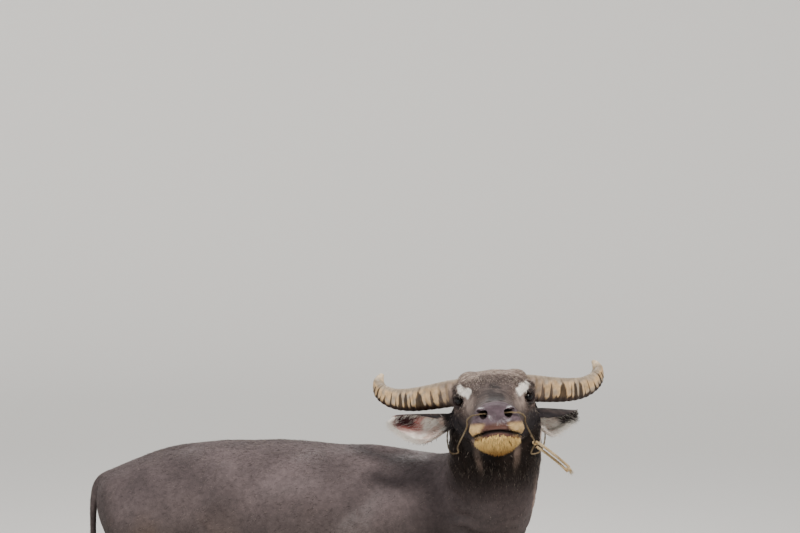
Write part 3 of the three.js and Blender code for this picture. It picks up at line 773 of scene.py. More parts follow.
@dataclass(frozen=True)
class Push:
    """A soft push on the skin, mirrored to the other side unless it lies on the middle."""

    at: Vec
    reach: Vec
    by: Vec

    def apply(self, points: np.ndarray) -> np.ndarray:
        """Moves points given in the frame that the push is stated in.

        Args:
            points: Places, one row each.

        Returns:
            The moved places.
        """
        moved = points.copy()
        for way in (1, -1) if self.at[1] else (1,):
            mirror = np.array([1, way, 1])
            near = bump_at(points, np.asarray(self.at) * mirror, self.reach)
            moved += near[:, None] * (np.asarray(self.by) * mirror)
        return moved


@dataclass(frozen=True)
class Crease:
    """A fold that runs along a path, with a swell on each side of it.

    It is mirrored to the other side unless the whole path lies on the middle.
    """

    path: Sequence[Vec]
    depth: float
    width: float

    def height(self, points: np.ndarray) -> np.ndarray:
        """How far the skin rises or sinks at each point.

        Args:
            points: Places in the frame that the path is stated in.

        Returns:
            The rise in metres, negative in the groove.
        """
        total = np.zeros(len(points))
        for way in (1, -1) if any(at[1] for at in self.path) else (1,):
            path = np.asarray(self.path, float) * np.array([1, way, 1])
            low, high = path.min(axis=0) - 4 * self.width, path.max(axis=0) + 4 * self.width
            near = np.flatnonzero(((points > low) & (points < high)).all(axis=1))
            if len(near):
                total[near] += self._near(points[near], path)
        return total

    def _near(self, points: np.ndarray, path: np.ndarray) -> np.ndarray:
        """The rise at points close to the path, fading at its ends.

        Args:
            points: Places close to the path.
            path: The path's corners, one row each.

        Returns:
            The rise in metres.
        """
        far, share = path_far(points, path)
        fade = step(0, 0.25, share) * step(1, 0.75, share)
        groove = np.exp(-((far / self.width) ** 2))
        swell = np.exp(-(((far - 2.1 * self.width) / self.width) ** 2))
        return self.depth * fade * (0.45 * swell - groove)


BODY_PUSHES = (
    # shoulder blade, point of the shoulder and the arm's muscle
    Push((0.03, 0.20, 1.02), (0.20, 0.12, 0.24), (0.0, 0.022, 0.0)),
    Push((-0.13, 0.25, 1.00), (0.10, 0.12, 0.22), (0.0, -0.016, 0.0)),
    Push((0.13, 0.19, 0.80), (0.14, 0.12, 0.14), (0.018, 0.014, 0.0)),
    Push((-0.06, 0.20, 0.74), (0.10, 0.10, 0.12), (-0.01, 0.014, 0.0)),
    # hip bone, hollow of the flank, thigh and the fold of the stifle
    Push((-0.70, 0.25, 1.17), (0.10, 0.10, 0.09), (0.0, 0.026, 0.020)),
    Push((-0.60, 0.30, 1.02), (0.13, 0.14, 0.13), (0.0, -0.034, 0.0)),
    Push((-0.93, 0.24, 0.98), (0.20, 0.12, 0.24), (0.0, 0.022, 0.0)),
    Push((-1.10, 0.12, 1.06), (0.09, 0.09, 0.08), (-0.016, 0.016, 0.012)),
    Push((-0.80, 0.27, 0.72), (0.12, 0.12, 0.12), (0.010, 0.018, 0.0)),
    # spine ridge, hollow behind the withers, belly and brisket
    Push((-0.10, 0.0, 1.23), (0.26, 0.05, 0.07), (0.0, 0.0, 0.014)),
    Push((-0.95, 0.0, 1.20), (0.30, 0.05, 0.06), (0.0, 0.0, 0.008)),
    Push((-0.40, 0.0, 0.52), (0.40, 0.30, 0.12), (0.0, 0.0, -0.010)),
    Push((0.24, 0.0, 0.66), (0.14, 0.10, 0.16), (0.018, 0.0, -0.022)),
)

BODY_CREASES = (
    # behind the elbow, before the thigh and along the belly
    Crease([(-0.13, 0.24, 0.92), (-0.10, 0.23, 0.78), (-0.06, 0.20, 0.66)], 0.012, 0.014),
    Crease([(-0.76, 0.30, 0.86), (-0.72, 0.27, 0.74), (-0.70, 0.22, 0.66)], 0.014, 0.016),
    Crease([(0.16, 0.20, 0.94), (0.19, 0.18, 0.82), (0.18, 0.14, 0.70)], 0.008, 0.014),
    Crease([(-1.06, 0.16, 0.86), (-1.04, 0.20, 0.74), (-0.99, 0.20, 0.66)], 0.008, 0.014),
    # hock and knee
    Crease([(-1.13, 0.19, 0.50), (-1.05, 0.20, 0.48)], 0.003, 0.006),
    Crease([(0.06, 0.20, 0.40), (0.06, 0.10, 0.40)], 0.003, 0.006),
)

HEAD_PUSHES = (
    # poll, brow and temple
    Push((-0.115, 0.0, 0.086), (0.06, 0.06, 0.03), (0.0, 0.0, 0.002)),
    Push((-0.110, 0.092, 0.070), (0.070, 0.055, 0.045), (0.0, 0.004, 0.010)),
    Push((-0.012, 0.122, 0.040), (0.040, 0.032, 0.022), (0.002, 0.004, 0.006)),
    Push((0.042, 0.094, 0.004), (0.034, 0.026, 0.030), (-0.005, -0.006, 0.0)),
    Push((-0.055, 0.128, -0.004), (0.032, 0.030, 0.030), (0.0, -0.006, 0.0)),
    # bridge of the nose: a flat top with a rounded edge, hollow before the eye
    Push((0.075, 0.088, 0.012), (0.050, 0.034, 0.034), (0.0, -0.006, -0.003)),
    Push((0.120, 0.058, 0.046), (0.090, 0.022, 0.020), (0.0, 0.003, 0.004)),
    Push((0.130, 0.076, -0.032), (0.070, 0.030, 0.016), (0.0, 0.005, 0.0)),
    # wings of the nostrils, upper edge of the pad, lip pads
    Push((0.318, 0.052, 0.006), (0.026, 0.022, 0.020), (0.005, 0.006, 0.006)),
    Push((0.306, 0.0, 0.016), (0.022, 0.050, 0.018), (0.0, 0.0, 0.004)),
    Push((0.340, 0.0, -0.010), (0.024, 0.018, 0.024), (-0.005, 0.0, 0.0)),
    Push((0.308, 0.070, -0.062), (0.040, 0.030, 0.020), (0.006, 0.006, 0.0)),
    Push((0.300, 0.0, -0.126), (0.050, 0.055, 0.026), (0.004, 0.0, -0.004)),
    # cheek muscle and jaw
    Push((-0.030, 0.140, -0.095), (0.070, 0.05, 0.060), (0.0, 0.008, 0.0)),
    Push((0.050, 0.095, -0.080), (0.040, 0.04, 0.050), (0.0, -0.007, 0.0)),
)

HEAD_CREASES = (
    # philtrum, edge of the nose pad and the fold above it
    Crease([(0.350, 0.0, -0.002), (0.350, 0.0, -0.030), (0.350, 0.0, -0.062)], 0.0053, 0.0030),
    Crease(
        [(0.268, 0.0, 0.030), (0.276, 0.034, 0.026), (0.296, 0.066, 0.012), (0.300, 0.082, -0.006)],
        0.0024,
        0.0050,
    ),
    Crease([(0.312, 0.082, -0.020), (0.328, 0.062, -0.036), (0.345, 0.030, -0.044)], 0.0033, 0.0035),
    Crease([(0.236, 0.088, -0.052), (0.222, 0.086, -0.078), (0.214, 0.078, -0.100)], 0.0053, 0.0050),
    Crease([(0.205, 0.084, -0.040), (0.194, 0.086, -0.070), (0.190, 0.080, -0.100)], 0.0033, 0.0050),
    # lids: the folds over each eye, bags below it and the groove from its inner corner
    Crease(
        [(0.040, 0.106, 0.016), (0.026, 0.126, 0.029), (-0.002, 0.140, 0.033), (-0.028, 0.140, 0.020)],
        0.0053,
        0.0034,
    ),
    Crease([(0.046, 0.106, 0.026), (0.026, 0.128, 0.042), (-0.006, 0.140, 0.046)], 0.0030, 0.0034),
    Crease(
        [(0.040, 0.104, -0.012), (0.022, 0.122, -0.025), (-0.006, 0.136, -0.027), (-0.028, 0.138, -0.014)],
        0.0045,
        0.0034,
    ),
    Crease([(0.050, 0.100, -0.018), (0.028, 0.116, -0.036), (-0.006, 0.132, -0.040)], 0.0033, 0.0038),
    Crease([(0.036, 0.112, -0.001), (0.054, 0.100, -0.010), (0.080, 0.088, -0.022)], 0.0033, 0.0032),
    # jaw line behind the mouth, and folds at the throat
    Crease([(0.150, 0.060, -0.135), (0.070, 0.085, -0.150), (-0.010, 0.100, -0.176)], 0.0090, 0.0090),
    Crease([(-0.140, 0.128, -0.020), (-0.130, 0.140, -0.080), (-0.120, 0.135, -0.150)], 0.0075, 0.0080),
)


@dataclass
class Skin:
    """One skin over trunk, neck, head, legs, tail and ears."""

    head: LocalFrame
    body: LocalFrame
    marks: Markings
    ears: Sequence["Ear"]
    cell: float = 0.0074
    joint_swell: float = 0.0005
    flesh: Sequence[str] = ("torso", "neck", "head", "tail", *(f"leg_{leg}" for leg in LEGS))
    feet: Sequence[str] = tuple(
        f"{part}_{leg}" for part in ("hoof", "dewclaw_inner", "dewclaw_outer") for leg in LEGS
    )
    body_share: float = 0.32
    trunk_rounds: int = 30
    leg_swell: float = 0.0016
    heel_swell: float = 0.0075
    hoof_sink: float = 0.0030
    lowest: float = 0.006
    neck_folds: int = 9
    neck_length: float = 0.62
    shade: Vec = (0.018, 0.012, 0.012)

    def build(self) -> bpy.types.Object:
        """Makes the skin and dresses it."""
        skin = copy_of_nodes((*self.flesh, *self.feet), "skin")
        put_points(skin, points_of(skin) + self.joint_swell * normals_of(skin))
        skin = join([skin, *self._fillers()], "skin")
        apply_modifier(skin, "REMESH", mode="VOXEL", voxel_size=self.cell, adaptivity=0.0)
        log.info("skin cast: %d points", len(skin.data.vertices))
        self._smooth_facets(skin)
        self._thin_body(skin)
        self._refine_head(skin)
        self._sculpt(skin)
        for ear in self.ears:
            weld(skin, ear.shell(), "UNION")
        weld(skin, self._cutter(), "DIFFERENCE")
        self._soften_rims(skin)
        self._unwrap(skin)
        self._colour(skin)
        round_off(skin)
        dress(skin, SKIN_FINISH.make())
        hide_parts(*self.flesh, "ear_left", "ear_right")
        log.info("skin done: %d faces", len(skin.data.polygons))
        return skin

    def _fillers(self) -> list[bpy.types.Object]:
        """Balls that fill eye sockets, nostrils, mouth and horn sockets, to be cut finely later."""
        fills = [((0.258, 0.0, -0.082), (0.074, 0.074, 0.030))]
        for side in Side:
            s = side.value
            fills.append(((0.0, s * EYE_APART, 0.0), (0.0312, 0.0312, 0.0312)))
            fills.append(((0.314, s * 0.037, -0.010), (0.026, 0.018, 0.017)))
            fills.append(((-0.110, s * 0.085, 0.017), (0.058, 0.047, 0.056)))
        balls = []
        for at, half in fills:
            ball = unit_ball()
            put_points(ball, self.head.outside(points_of(ball) * np.asarray(half) + np.asarray(at)))
            balls.append(ball)
        return balls

    def _smooth_facets(self, skin: bpy.types.Object) -> None:
        """Smooths the flats of the solids away, most on the trunk and least on the face.

        Args:
            skin: The skin.
        """
        points = points_of(skin)
        at_head, at_body = self.head.inside(points), self.body.inside(points)
        on_head = step(-0.24, -0.14, at_head[:, 0]) * (at_head[:, 2] > -0.30)
        legs = step(0.72, 0.55, at_body[:, 2])
        low = step(0.10, 0.05, at_body[:, 2])
        tail = step(-1.16, -1.22, at_body[:, 0])
        thin = np.maximum(np.maximum(legs, tail), on_head)
        relax(skin, 0.9 * (1 - thin) + 0.02, 70)
        relax(skin, np.where(on_head > 0.5, 0.75 * (1 - low), 0.68), 9)
        relax(skin, 0.85 * np.maximum(legs, tail) * (1 - on_head), 10)
        jaw_front = step(0.20, 0.26, at_head[:, 0]) * step(-0.09, -0.11, at_head[:, 2])
        relax(skin, 0.8 * jaw_front, 30)

    def _thin_body(self, skin: bpy.types.Object) -> None:
        """Drops faces from the trunk and legs, where the form is broad, and seats the legs on the hooves.

        Args:
            skin: The skin.
        """
        at_head = self.head.inside(points_of(skin))
        away = step(-0.20, -0.30, at_head[:, 0]) + (at_head[:, 2] < -0.30)
        group = skin.vertex_groups.new(name="thin")
        grades = 10
        levels = np.round(np.clip(away, 0, 1) * grades).astype(int)
        for level in range(1, grades + 1):
            group.add(np.flatnonzero(levels == level).tolist(), level / grades, "REPLACE")
        apply_modifier(skin, "DECIMATE", ratio=self.body_share, vertex_group="thin", vertex_group_factor=1.0)
        skin.vertex_groups.clear()
        points = points_of(skin)
        at_head, at_body = self.head.inside(points), self.body.inside(points)
        on_head = step(-0.30, -0.18, at_head[:, 0]) * (at_head[:, 2] > -0.32)
        thin = np.maximum(step(0.74, 0.60, at_body[:, 2]), step(-1.165, -1.20, at_body[:, 0]))
        relax(skin, 0.8 * (1 - np.maximum(thin, on_head)), self.trunk_rounds)
        relax(skin, 0.5 * (1 - on_head), 2)
        points = points_of(skin)
        heel = self._heels(points)
        swell = self.leg_swell * thin * (1 - on_head) * step(0.05, 0.075, at_body[:, 2])
        swell += self.heel_swell * heel
        sunk = self.hoof_sink * step(0.060, 0.046, at_body[:, 2]) * (1 - heel)
        points += (swell - sunk)[:, None] * normals_of(skin)
        points[:, 2] = np.maximum(points[:, 2], self.lowest)
        put_points(skin, points)
        log.info("skin thinned: %d points", len(skin.data.vertices))

    @staticmethod
    def _heels(points: np.ndarray) -> np.ndarray:
        """1 at the soft heel behind and between the claws of each foot, else 0."""
        heel = np.zeros(len(points))
        for leg in LEGS:
            low, high = (np.array(corner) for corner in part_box(f"hoof_{leg}"))
            middle, half = (low + high) / 2, (high - low) / 2 + 0.02
            near = np.all(np.abs(points - middle) < half, axis=1)
            between = step(0.046, 0.034, np.abs(points[:, 1] - middle[1]))
            behind = step(low[0] + 0.044, low[0] + 0.030, points[:, 0])
            heel = np.maximum(heel, near * between * behind * step(0.016, 0.030, points[:, 2]))
        return heel

    def _refine_head(self, skin: bpy.types.Object) -> None:
        """Splits the faces of the head once, and those round eyes and muzzle twice.

        Args:
            skin: The skin.
        """
        for finer in (False, True):
            u, side, w = self.head.folded(points_of(skin))
            if finer:
                eyes = np.hypot(np.hypot(u - 0.008, side - 0.122), w) < 0.045
                chosen = eyes | ((u > 0.262) & (w > -0.115) & (w < 0.03))
            else:
                chosen = (u > -0.13) & (w > -0.165)
            pick(skin)
            bpy.ops.object.mode_set(mode="EDIT")
            bpy.ops.mesh.select_mode(type="VERT")
            bpy.ops.mesh.select_all(action="DESELECT")
            bpy.ops.object.mode_set(mode="OBJECT")
            skin.data.vertices.foreach_set("select", chosen)
            bpy.ops.object.mode_set(mode="EDIT")
            bpy.ops.mesh.select_mode(type="FACE")
            bpy.ops.mesh.subdivide(number_cuts=1, smoothness=0.0)
            bpy.ops.object.mode_set(mode="OBJECT")
            u, _, w = self.head.inside(points_of(skin)).T
            relax(skin, 0.5 * (step(-0.22, -0.16, u) * step(-0.24, -0.18, w)), 2)
        apply_modifier(skin, "TRIANGULATE")
        log.info("head refined: %d faces", len(skin.data.polygons))

    def _sculpt(self, skin: bpy.types.Object) -> None:
        """Muscle, bone, hollows and folds.

        Args:
            skin: The skin.
        """
        at = self.body.inside(points_of(skin))
        for push in BODY_PUSHES:
            at = push.apply(at)
        at = self.head.inside(self.body.outside(at))
        for push in HEAD_PUSHES:
            at = push.apply(at)
        put_points(skin, self.head.outside(at))
        normals = normals_of(skin)
        points = points_of(skin)
        at_body, at_head = self.body.inside(points), self.head.inside(points)
        rise = sum(crease.height(at_body) for crease in BODY_CREASES)
        rise = rise + sum(crease.height(at_head) for crease in HEAD_CREASES)
        rise = rise + self._neck_folds(at_body, at_head) + self._slack(points, at_body)
        put_points(skin, points + rise[:, None] * normals)

    def _neck_folds(self, at_body: np.ndarray, at_head: np.ndarray) -> np.ndarray:
        """Rings of loose skin, closest and deepest on the inside of the neck's turn.

        Args:
            at_body: Places in the body's frame.
            at_head: The same in the head's frame.

        Returns:
            The rise in metres.
        """
        x, y, z = at_body.T
        along = (z - 0.80) - 0.55 * y
        on_neck = step(0.10, 0.20, x) * step(0.66, 0.78, z)
        on_neck = on_neck * step(-0.155, -0.20, at_head[:, 0]) * step(-0.56, -0.40, y)
        inside = step(0.44, 0.20, x) * step(0.02, -0.10, y)
        wobble = 0.012 * ripple(at_body, 0.09, 31)
        wave = np.sin(2 * math.pi * self.neck_folds * (along + wobble) / self.neck_length)
        fold = -np.abs(wave) ** 0.7 * np.sign(wave)
        return on_neck * (0.0016 + 0.0050 * inside) * fold

    def _slack(self, points: np.ndarray, at_body: np.ndarray) -> np.ndarray:
        """Soft unevenness: ribs under the hide, wrinkles over the brow and cheek.

        Args:
            points: Places in the row frame.
            at_body: The same in the body's frame.

        Returns:
            The rise in metres.
        """
        x, _, z = at_body.T
        folded = self.head.folded(points)
        u, _, w = folded
        ribs = step(-0.60, -0.50, x) * step(-0.10, -0.20, x) * step(0.66, 0.80, z) * step(1.16, 1.02, z)
        rise = 0.0035 * ribs * np.sin(2 * math.pi * (x + 0.22 * (z - 0.9)) / 0.062)
        rise += 0.0030 * ripple(points, 0.12, 41) * step(-0.2, -0.3, u)
        brow = bump_at(folded.T, (-0.01, 0.125, 0.052), (0.05, 0.05, 0.03))
        rise += 0.0011 * brow * np.sin(2 * math.pi * (w + 0.25 * u) / 0.0075)
        cheek = bump_at(folded.T, (0.11, 0.08, -0.06), (0.10, 0.05, 0.05))
        rise += 0.0010 * cheek * np.sin(2 * math.pi * (w - 0.5 * u + 0.01 * ripple(points, 0.05, 42)) / 0.013)
        return rise

    def _cutter(self) -> bpy.types.Object:
        """Sockets with almond openings, nostrils and the line of the mouth, as one closed mesh."""
        parts = []
        for side in Side:
            s, gaze = side.value, gaze_of(side)
            centre = np.array([0, s * EYE_APART, 0])
            parts.append(self._ball(centre, (EYE_RADIUS + 0.0004,) * 3, gaze, 40))
            parts.append(self._almond(centre, gaze))
            bore, tail = unit(np.array([1, s * 0.42, -0.05])), unit(np.array([0.5, s * 0.9, 0.3]))
            parts.append(self._ball(np.array([0.324, s * 0.039, -0.010]), (0.046, 0.0132, 0.0138), bore, 40))
            parts.append(self._ball(np.array([0.320, s * 0.056, 0.001]), (0.024, 0.0130, 0.0056), tail, 32))
        parts.append(self._mouth())
        cutter = parts[0]
        for other in parts[1:]:
            weld(cutter, other, "UNION")
        return cutter

    def _ball(self, at: np.ndarray, half: Vec, ahead: np.ndarray, segments: int) -> bpy.types.Object:
        """A stretched ball in the head's frame.

        Args:
            at: Its middle.
            half: Half its length, width and height.
            ahead: The way of its length.
            segments: Faces round it.

        Returns:
            The ball.
        """
        ball = unit_ball(segments, segments // 2)
        shaped = (points_of(ball) * np.asarray(half)) @ axes_along(ahead).T
        put_points(ball, self.head.outside(shaped + at))
        return ball

    def _almond(self, centre: np.ndarray, gaze: np.ndarray) -> bpy.types.Object:
        """The opening between the lids: rounder above, flatter below, drawn out at the inner corner.

        Args:
            centre: The eye's middle.
            gaze: The way that it looks.

        Returns:
            The cutter's mesh.
        """
        deselect_all()
        bpy.ops.mesh.primitive_cylinder_add(vertices=56, radius=1, depth=1)
        opening = bpy.context.object
        local = points_of(opening)
        a, b = lid_line(np.arctan2(local[:, 1], local[:, 0]), gaze)
        ahead = 0.032 + 0.022 * local[:, 2]
        flare = 1.0 + 0.10 * (local[:, 2] > 0)
        shaped = np.stack([ahead, a * flare, b * flare], axis=1) @ axes_along(gaze).T
        put_points(opening, self.head.outside(shaped + centre))
        return opening

    def _mouth(self) -> bpy.types.Object:
        """A thin wedge swept round the muzzle, highest in front."""
        angle = np.pi * (np.linspace(0, 1, 90) - 0.5)
        away = np.sin(angle)
        ahead = 0.212 + 0.130 * np.cos(angle) ** 0.7
        beside = MOUTH_HALF * np.sign(away) * np.abs(away) ** 0.8
        middle = np.stack([ahead, beside, LIPS_MEET - LIPS_FALL * away**2], axis=1)
        inwards = np.stack([-np.cos(angle), -away, 0 * angle], axis=1)
        thick = (0.0031 * (0.4 + 0.6 * np.cos(angle)))[:, None] * [0, 0, 1]
        profile = ((-0.020, 2.4), (0.004, 1.1), (0.014, 0), (0.004, -1.1), (-0.020, -2.4))
        rings = np.stack([middle + deep * inwards + high * thick for deep, high in profile], axis=1)
        return tube_object("mouth_line", self.head.outside(rings.reshape(-1, 3)), len(profile))

    def _soften_rims(self, skin: bpy.types.Object) -> None:
        """Rounds the cut edges of lids, nostrils and lips, and the ears' roots."""
        folded = self.head.folded(points_of(skin))
        u, side, w = folded
        nose = bump_at(folded.T, (0.33, 0.045, -0.008), (0.05, 0.045, 0.04)) > 0.05
        lips = (u > 0.19) & (np.abs(lips_far(side, w)) < 0.010)
        ear_root = np.hypot(np.hypot(u + 0.118, side - 0.125), w + 0.074) < 0.060
        relax(skin, 0.55 * nose, 2)
        relax(skin, 0.5 * lips, 2)
        relax(skin, 0.6 * ear_root, 6)

    def _unwrap(self, skin: bpy.types.Object) -> None:
        """Unwraps the skin by its own shape."""
        skin.data.uv_layers.new(name=SKIN_UV)
        with editing(skin):
            bpy.ops.uv.smart_project(angle_limit=math.radians(75), island_margin=0.001)

    def _colour(self, skin: bpy.types.Object) -> None:
        """Lays the markings on, dark in sockets, nostrils and mouth.

        Args:
            skin: The skin.
        """
        points, normals = points_of(skin), normals_of(skin)
        colours = self.marks.colours(points)
        for ear in self.ears:
            colours = ear.colour(points, normals, colours, self.marks.palette)
        u, side, w = self.head.folded(points)
        in_nose = np.hypot((side - 0.041) / 0.0135, (w + 0.009) / 0.0145)
        nostrils = step(1.15, 0.85, in_nose) * (u > 0.26) * (u < 0.333)
        mouth = 0.94 * step(0.0074, 0.0040, np.abs(lips_far(side, w))) * step(0.20, 0.23, u) * (side < 0.092)
        eye = np.stack([u, side - EYE_APART, w], axis=1)
        gaze = gaze_of(Side.LEFT)
        ahead = eye @ gaze
        off_axis = np.linalg.norm(eye - ahead[:, None] * gaze, axis=1)
        lids = step(0.0335, 0.0260, off_axis) * (ahead > 0.005) * (ahead < 0.05)
        paint(skin, layered(colours, (self.shade, np.maximum(np.maximum(nostrils, mouth), 0.92 * lids))))
        paint_wetness(skin, np.maximum(self.marks.wetness(points), 0.8 * lids))


def lid_line(angle: np.ndarray, gaze: np.ndarray) -> tuple[np.ndarray, np.ndarray]:
    """The lids' edge, seen along the gaze.

    Args:
        angle: Where round the eye, 0 towards the axis that axes_along calls y.
        gaze: The way that the eye looks, whose sign of y tells the side.

    Returns:
        The offsets across and up from the eye's own axis.
    """
    inner = -np.sign(gaze[1])
    across = LID_ACROSS * np.cos(angle) * (1 + 0.14 * np.clip(np.cos(angle) * inner, 0, 1))
    lift = np.where(np.sin(angle) > 0, UPPER_LID, LOWER_LID)
    up = lift * np.sin(angle) * (1 - 0.18 * np.abs(np.cos(angle)) ** 3) - 0.0015 * inner * np.cos(angle)
    return across, up


def tube_object(name: str, points: np.ndarray, sides: int, closed: bool = False) -> bpy.types.Object:
    """A closed mesh from rings of points, each with the same number of sides.

    Args:
        name: The object's name.
        points: All rings, one after another.
        sides: Points in a ring.
        closed: Whether the last ring meets the first.

    Returns:
        The object, with both ends capped unless it is closed.
    """
    rings = len(points) // sides
    s = np.arange(sides)
    faces = []
    for r in range(rings if closed else rings - 1):
        a, b = r * sides, ((r + 1) % rings) * sides
        n = (s + 1) % sides
        faces.append(np.stack([a + s, a + n, b + n], axis=1))
        faces.append(np.stack([a + s, b + n, b + s], axis=1))
    if not closed:
        last = (rings - 1) * sides
        fan = np.arange(1, sides - 1)
        faces.append(np.stack([0 * fan, fan + 1, fan], axis=1))
        faces.append(np.stack([last + 0 * fan, last + fan, last + fan + 1], axis=1))
    obj = mesh_object(name, points, np.concatenate(faces))
    with editing(obj):
        bpy.ops.mesh.normals_make_consistent(inside=False)
    return obj


# Ears


@dataclass
class Ear:
    """A rolled tube at the root that opens into a leaf-shaped cup, with hair in it."""

    side: Side
    head: LocalFrame
    root: Vec
    tip: Vec
    open_to: Vec
    sag: float
    # cup_shade: how much of the cup is painted shade, for an ear turned away
    cup_shade: float
    length: float = 0.245
    wall: float = 0.0052
    along: Sequence[float] = (0.0, 0.1, 0.2, 0.32, 0.45, 0.58, 0.7, 0.81, 0.9, 0.96, 1.0)
    radius: Sequence[float] = (0.026, 0.027, 0.033, 0.043, 0.051, 0.054, 0.052, 0.046, 0.037, 0.028, 0.014)
    arc: Sequence[float] = (330, 318, 280, 236, 200, 172, 148, 128, 104, 76, 26)
    lift: Sequence[float] = (0, 0, 0.001, 0.004, 0.009, 0.015, 0.021, 0.026, 0.029, 0.031, 0.032)

    def __post_init__(self) -> None:
        """Works out the ear's axes in the head's frame."""
        self.ahead = unit(np.asarray(self.tip, float) - self.root)
        opening = np.asarray(self.open_to, float)
        self.out = unit(opening - self.ahead * (opening @ self.ahead))
        self.across = np.cross(self.out, self.ahead)

    def place(self, along: np.ndarray, across: np.ndarray, out: np.ndarray) -> np.ndarray:
        """Places given along the ear, across it and out of its cup, in the row frame.

        Args:
            along: Metres from the root.
            across: Metres across the cup.
            out: Metres out of the cup.

        Returns:
            Places in the row frame.
        """
        dip = self.sag * np.sin(np.pi * along / self.length)
        local = (
            np.asarray(self.root)
            + along[:, None] * self.ahead
            + (across + dip)[:, None] * self.across
            + out[:, None] * self.out
        )
        return self.head.outside(local)

    def surface(self, t: np.ndarray, share: np.ndarray, inset: np.ndarray) -> np.ndarray:
        """Points on the ear: t along it from 0 to 1, share across it from -1 to 1, inset from its back."""
        k = t * (len(self.along) - 1)
        radius = smooth_read(self.radius, k)
        angle = np.radians(smooth_read(self.arc, k)) / 2 * share
        r = radius - inset
        along = smooth_read(self.along, k) * self.length
        wave = 0.0022 * np.sin(9 * t + 3 * share) * np.abs(share) ** 3
        out = radius - r * np.cos(angle) - 0.022 + smooth_read(self.lift, k) + wave
        return self.place(along, r * np.sin(angle), out)

    def shell(self) -> bpy.types.Object:
        """The ear as a closed mesh."""
        rows, columns = 66, 40
        share = np.linspace(-1, 1, columns)
        rings = []
        for t in np.arange(rows + 1) / rows:
            wall = self.wall * (1 - 0.45 * t) * (1 - 0.62 * np.abs(share) ** 6)
            veins = 0.0007 * np.cos(share * 9) * (1 - t)
            row = np.full(columns, t)
            rings += [self.surface(row, share, 0 * share), self.surface(row, share, wall + veins)[::-1]]
        leaf = tube_object(f"ear_{self.side.label}_leaf", np.concatenate(rings), 2 * columns)
        plug = unit_ball()
        half = points_of(plug) * [0.050, 0.031, 0.031]
        put_points(plug, self.place(half[:, 0] + 0.006, half[:, 1], half[:, 2] + 0.003))
        weld(leaf, plug, "UNION")
        return leaf

    def local(self, points: np.ndarray) -> tuple[np.ndarray, np.ndarray, np.ndarray]:
        """Points' places along the ear from 0 to 1, across it and out of it."""
        at = self.head.inside(points) - np.asarray(self.root)
        along = at @ self.ahead
        dip = self.sag * np.sin(np.pi * np.clip(along, 0, self.length) / self.length)
        return along / self.length, at @ self.across - dip, at @ self.out

    def covers(self, points: np.ndarray, start: float) -> np.ndarray:
        """Whether points lie on the ear, past a share of its length."""
        t, across, out = self.local(points)
        return (t > start) & (np.abs(across) < 0.09) & (np.abs(out) < 0.09)

    def colour(
        self, points: np.ndarray, normals: np.ndarray, under: np.ndarray, palette: Palette
    ) -> np.ndarray:
        """The ear's colours over the hide's: dark outside, pale and pink inside the cup, and painted shade
        over most of the cup where it is turned away.

        Args:
            points: Places on the hide, one row each.
            normals: The hide's normals there.
            under: The hide's colours there.
            palette: The animal's colours.

        Returns:
            The colours, changed where a place lies on this ear.
        """
        t, across, out = self.local(points)
        here = step(0.10, 0.24, t) * step(0.085, 0.07, np.abs(across)) * step(0.085, 0.07, np.abs(out))
        inside = step(-0.05, 0.25, self.head.way_in(normals) @ self.out)
        down = -across * np.sign(self.across[2])
        noise = ripple(points, 0.03, 51)
        blush = step(0.42, 0.54, t + 0.08 * noise) * step(0.042, 0.012, down + 0.008 * noise)
        dusk = step(0.54, 0.66, t + 0.1 * noise) * step(0.020, -0.002, down + 0.01 * noise)
        shade = step(0.026, 0.006, down - 0.045 * step(0.62, 0.95, t) + 0.006 * noise)
        cup = layered(
            plain(palette.white, points),
            (palette.inner_ear, 0.7 * step(-0.1, 0.8, noise + 0.6 * step(0.5, 0.2, t))),
            (palette.pink, (0.9 - 0.6 * self.cup_shade) * blush * step(0.97, 0.84, t)),
            (palette.ear_dark, 0.92 * dusk * step(0.96, 0.86, t) * (1 - self.cup_shade)),
            (palette.cheek, step(-0.024, -0.036, down) * step(0.8, 0.5, t)),
            # painted shade over the cup but for a strip along its lower edge
            (palette.cheek, 0.95 * self.cup_shade * shade),
            (palette.cheek, 0.9 * step(0.27, 0.17, t)),
        )
        back = layered(plain(palette.cheek, points), (palette.face, 0.3 + 0.3 * noise))
        return layered(under, (layered(back, (cup, inside)), here))


# Horns


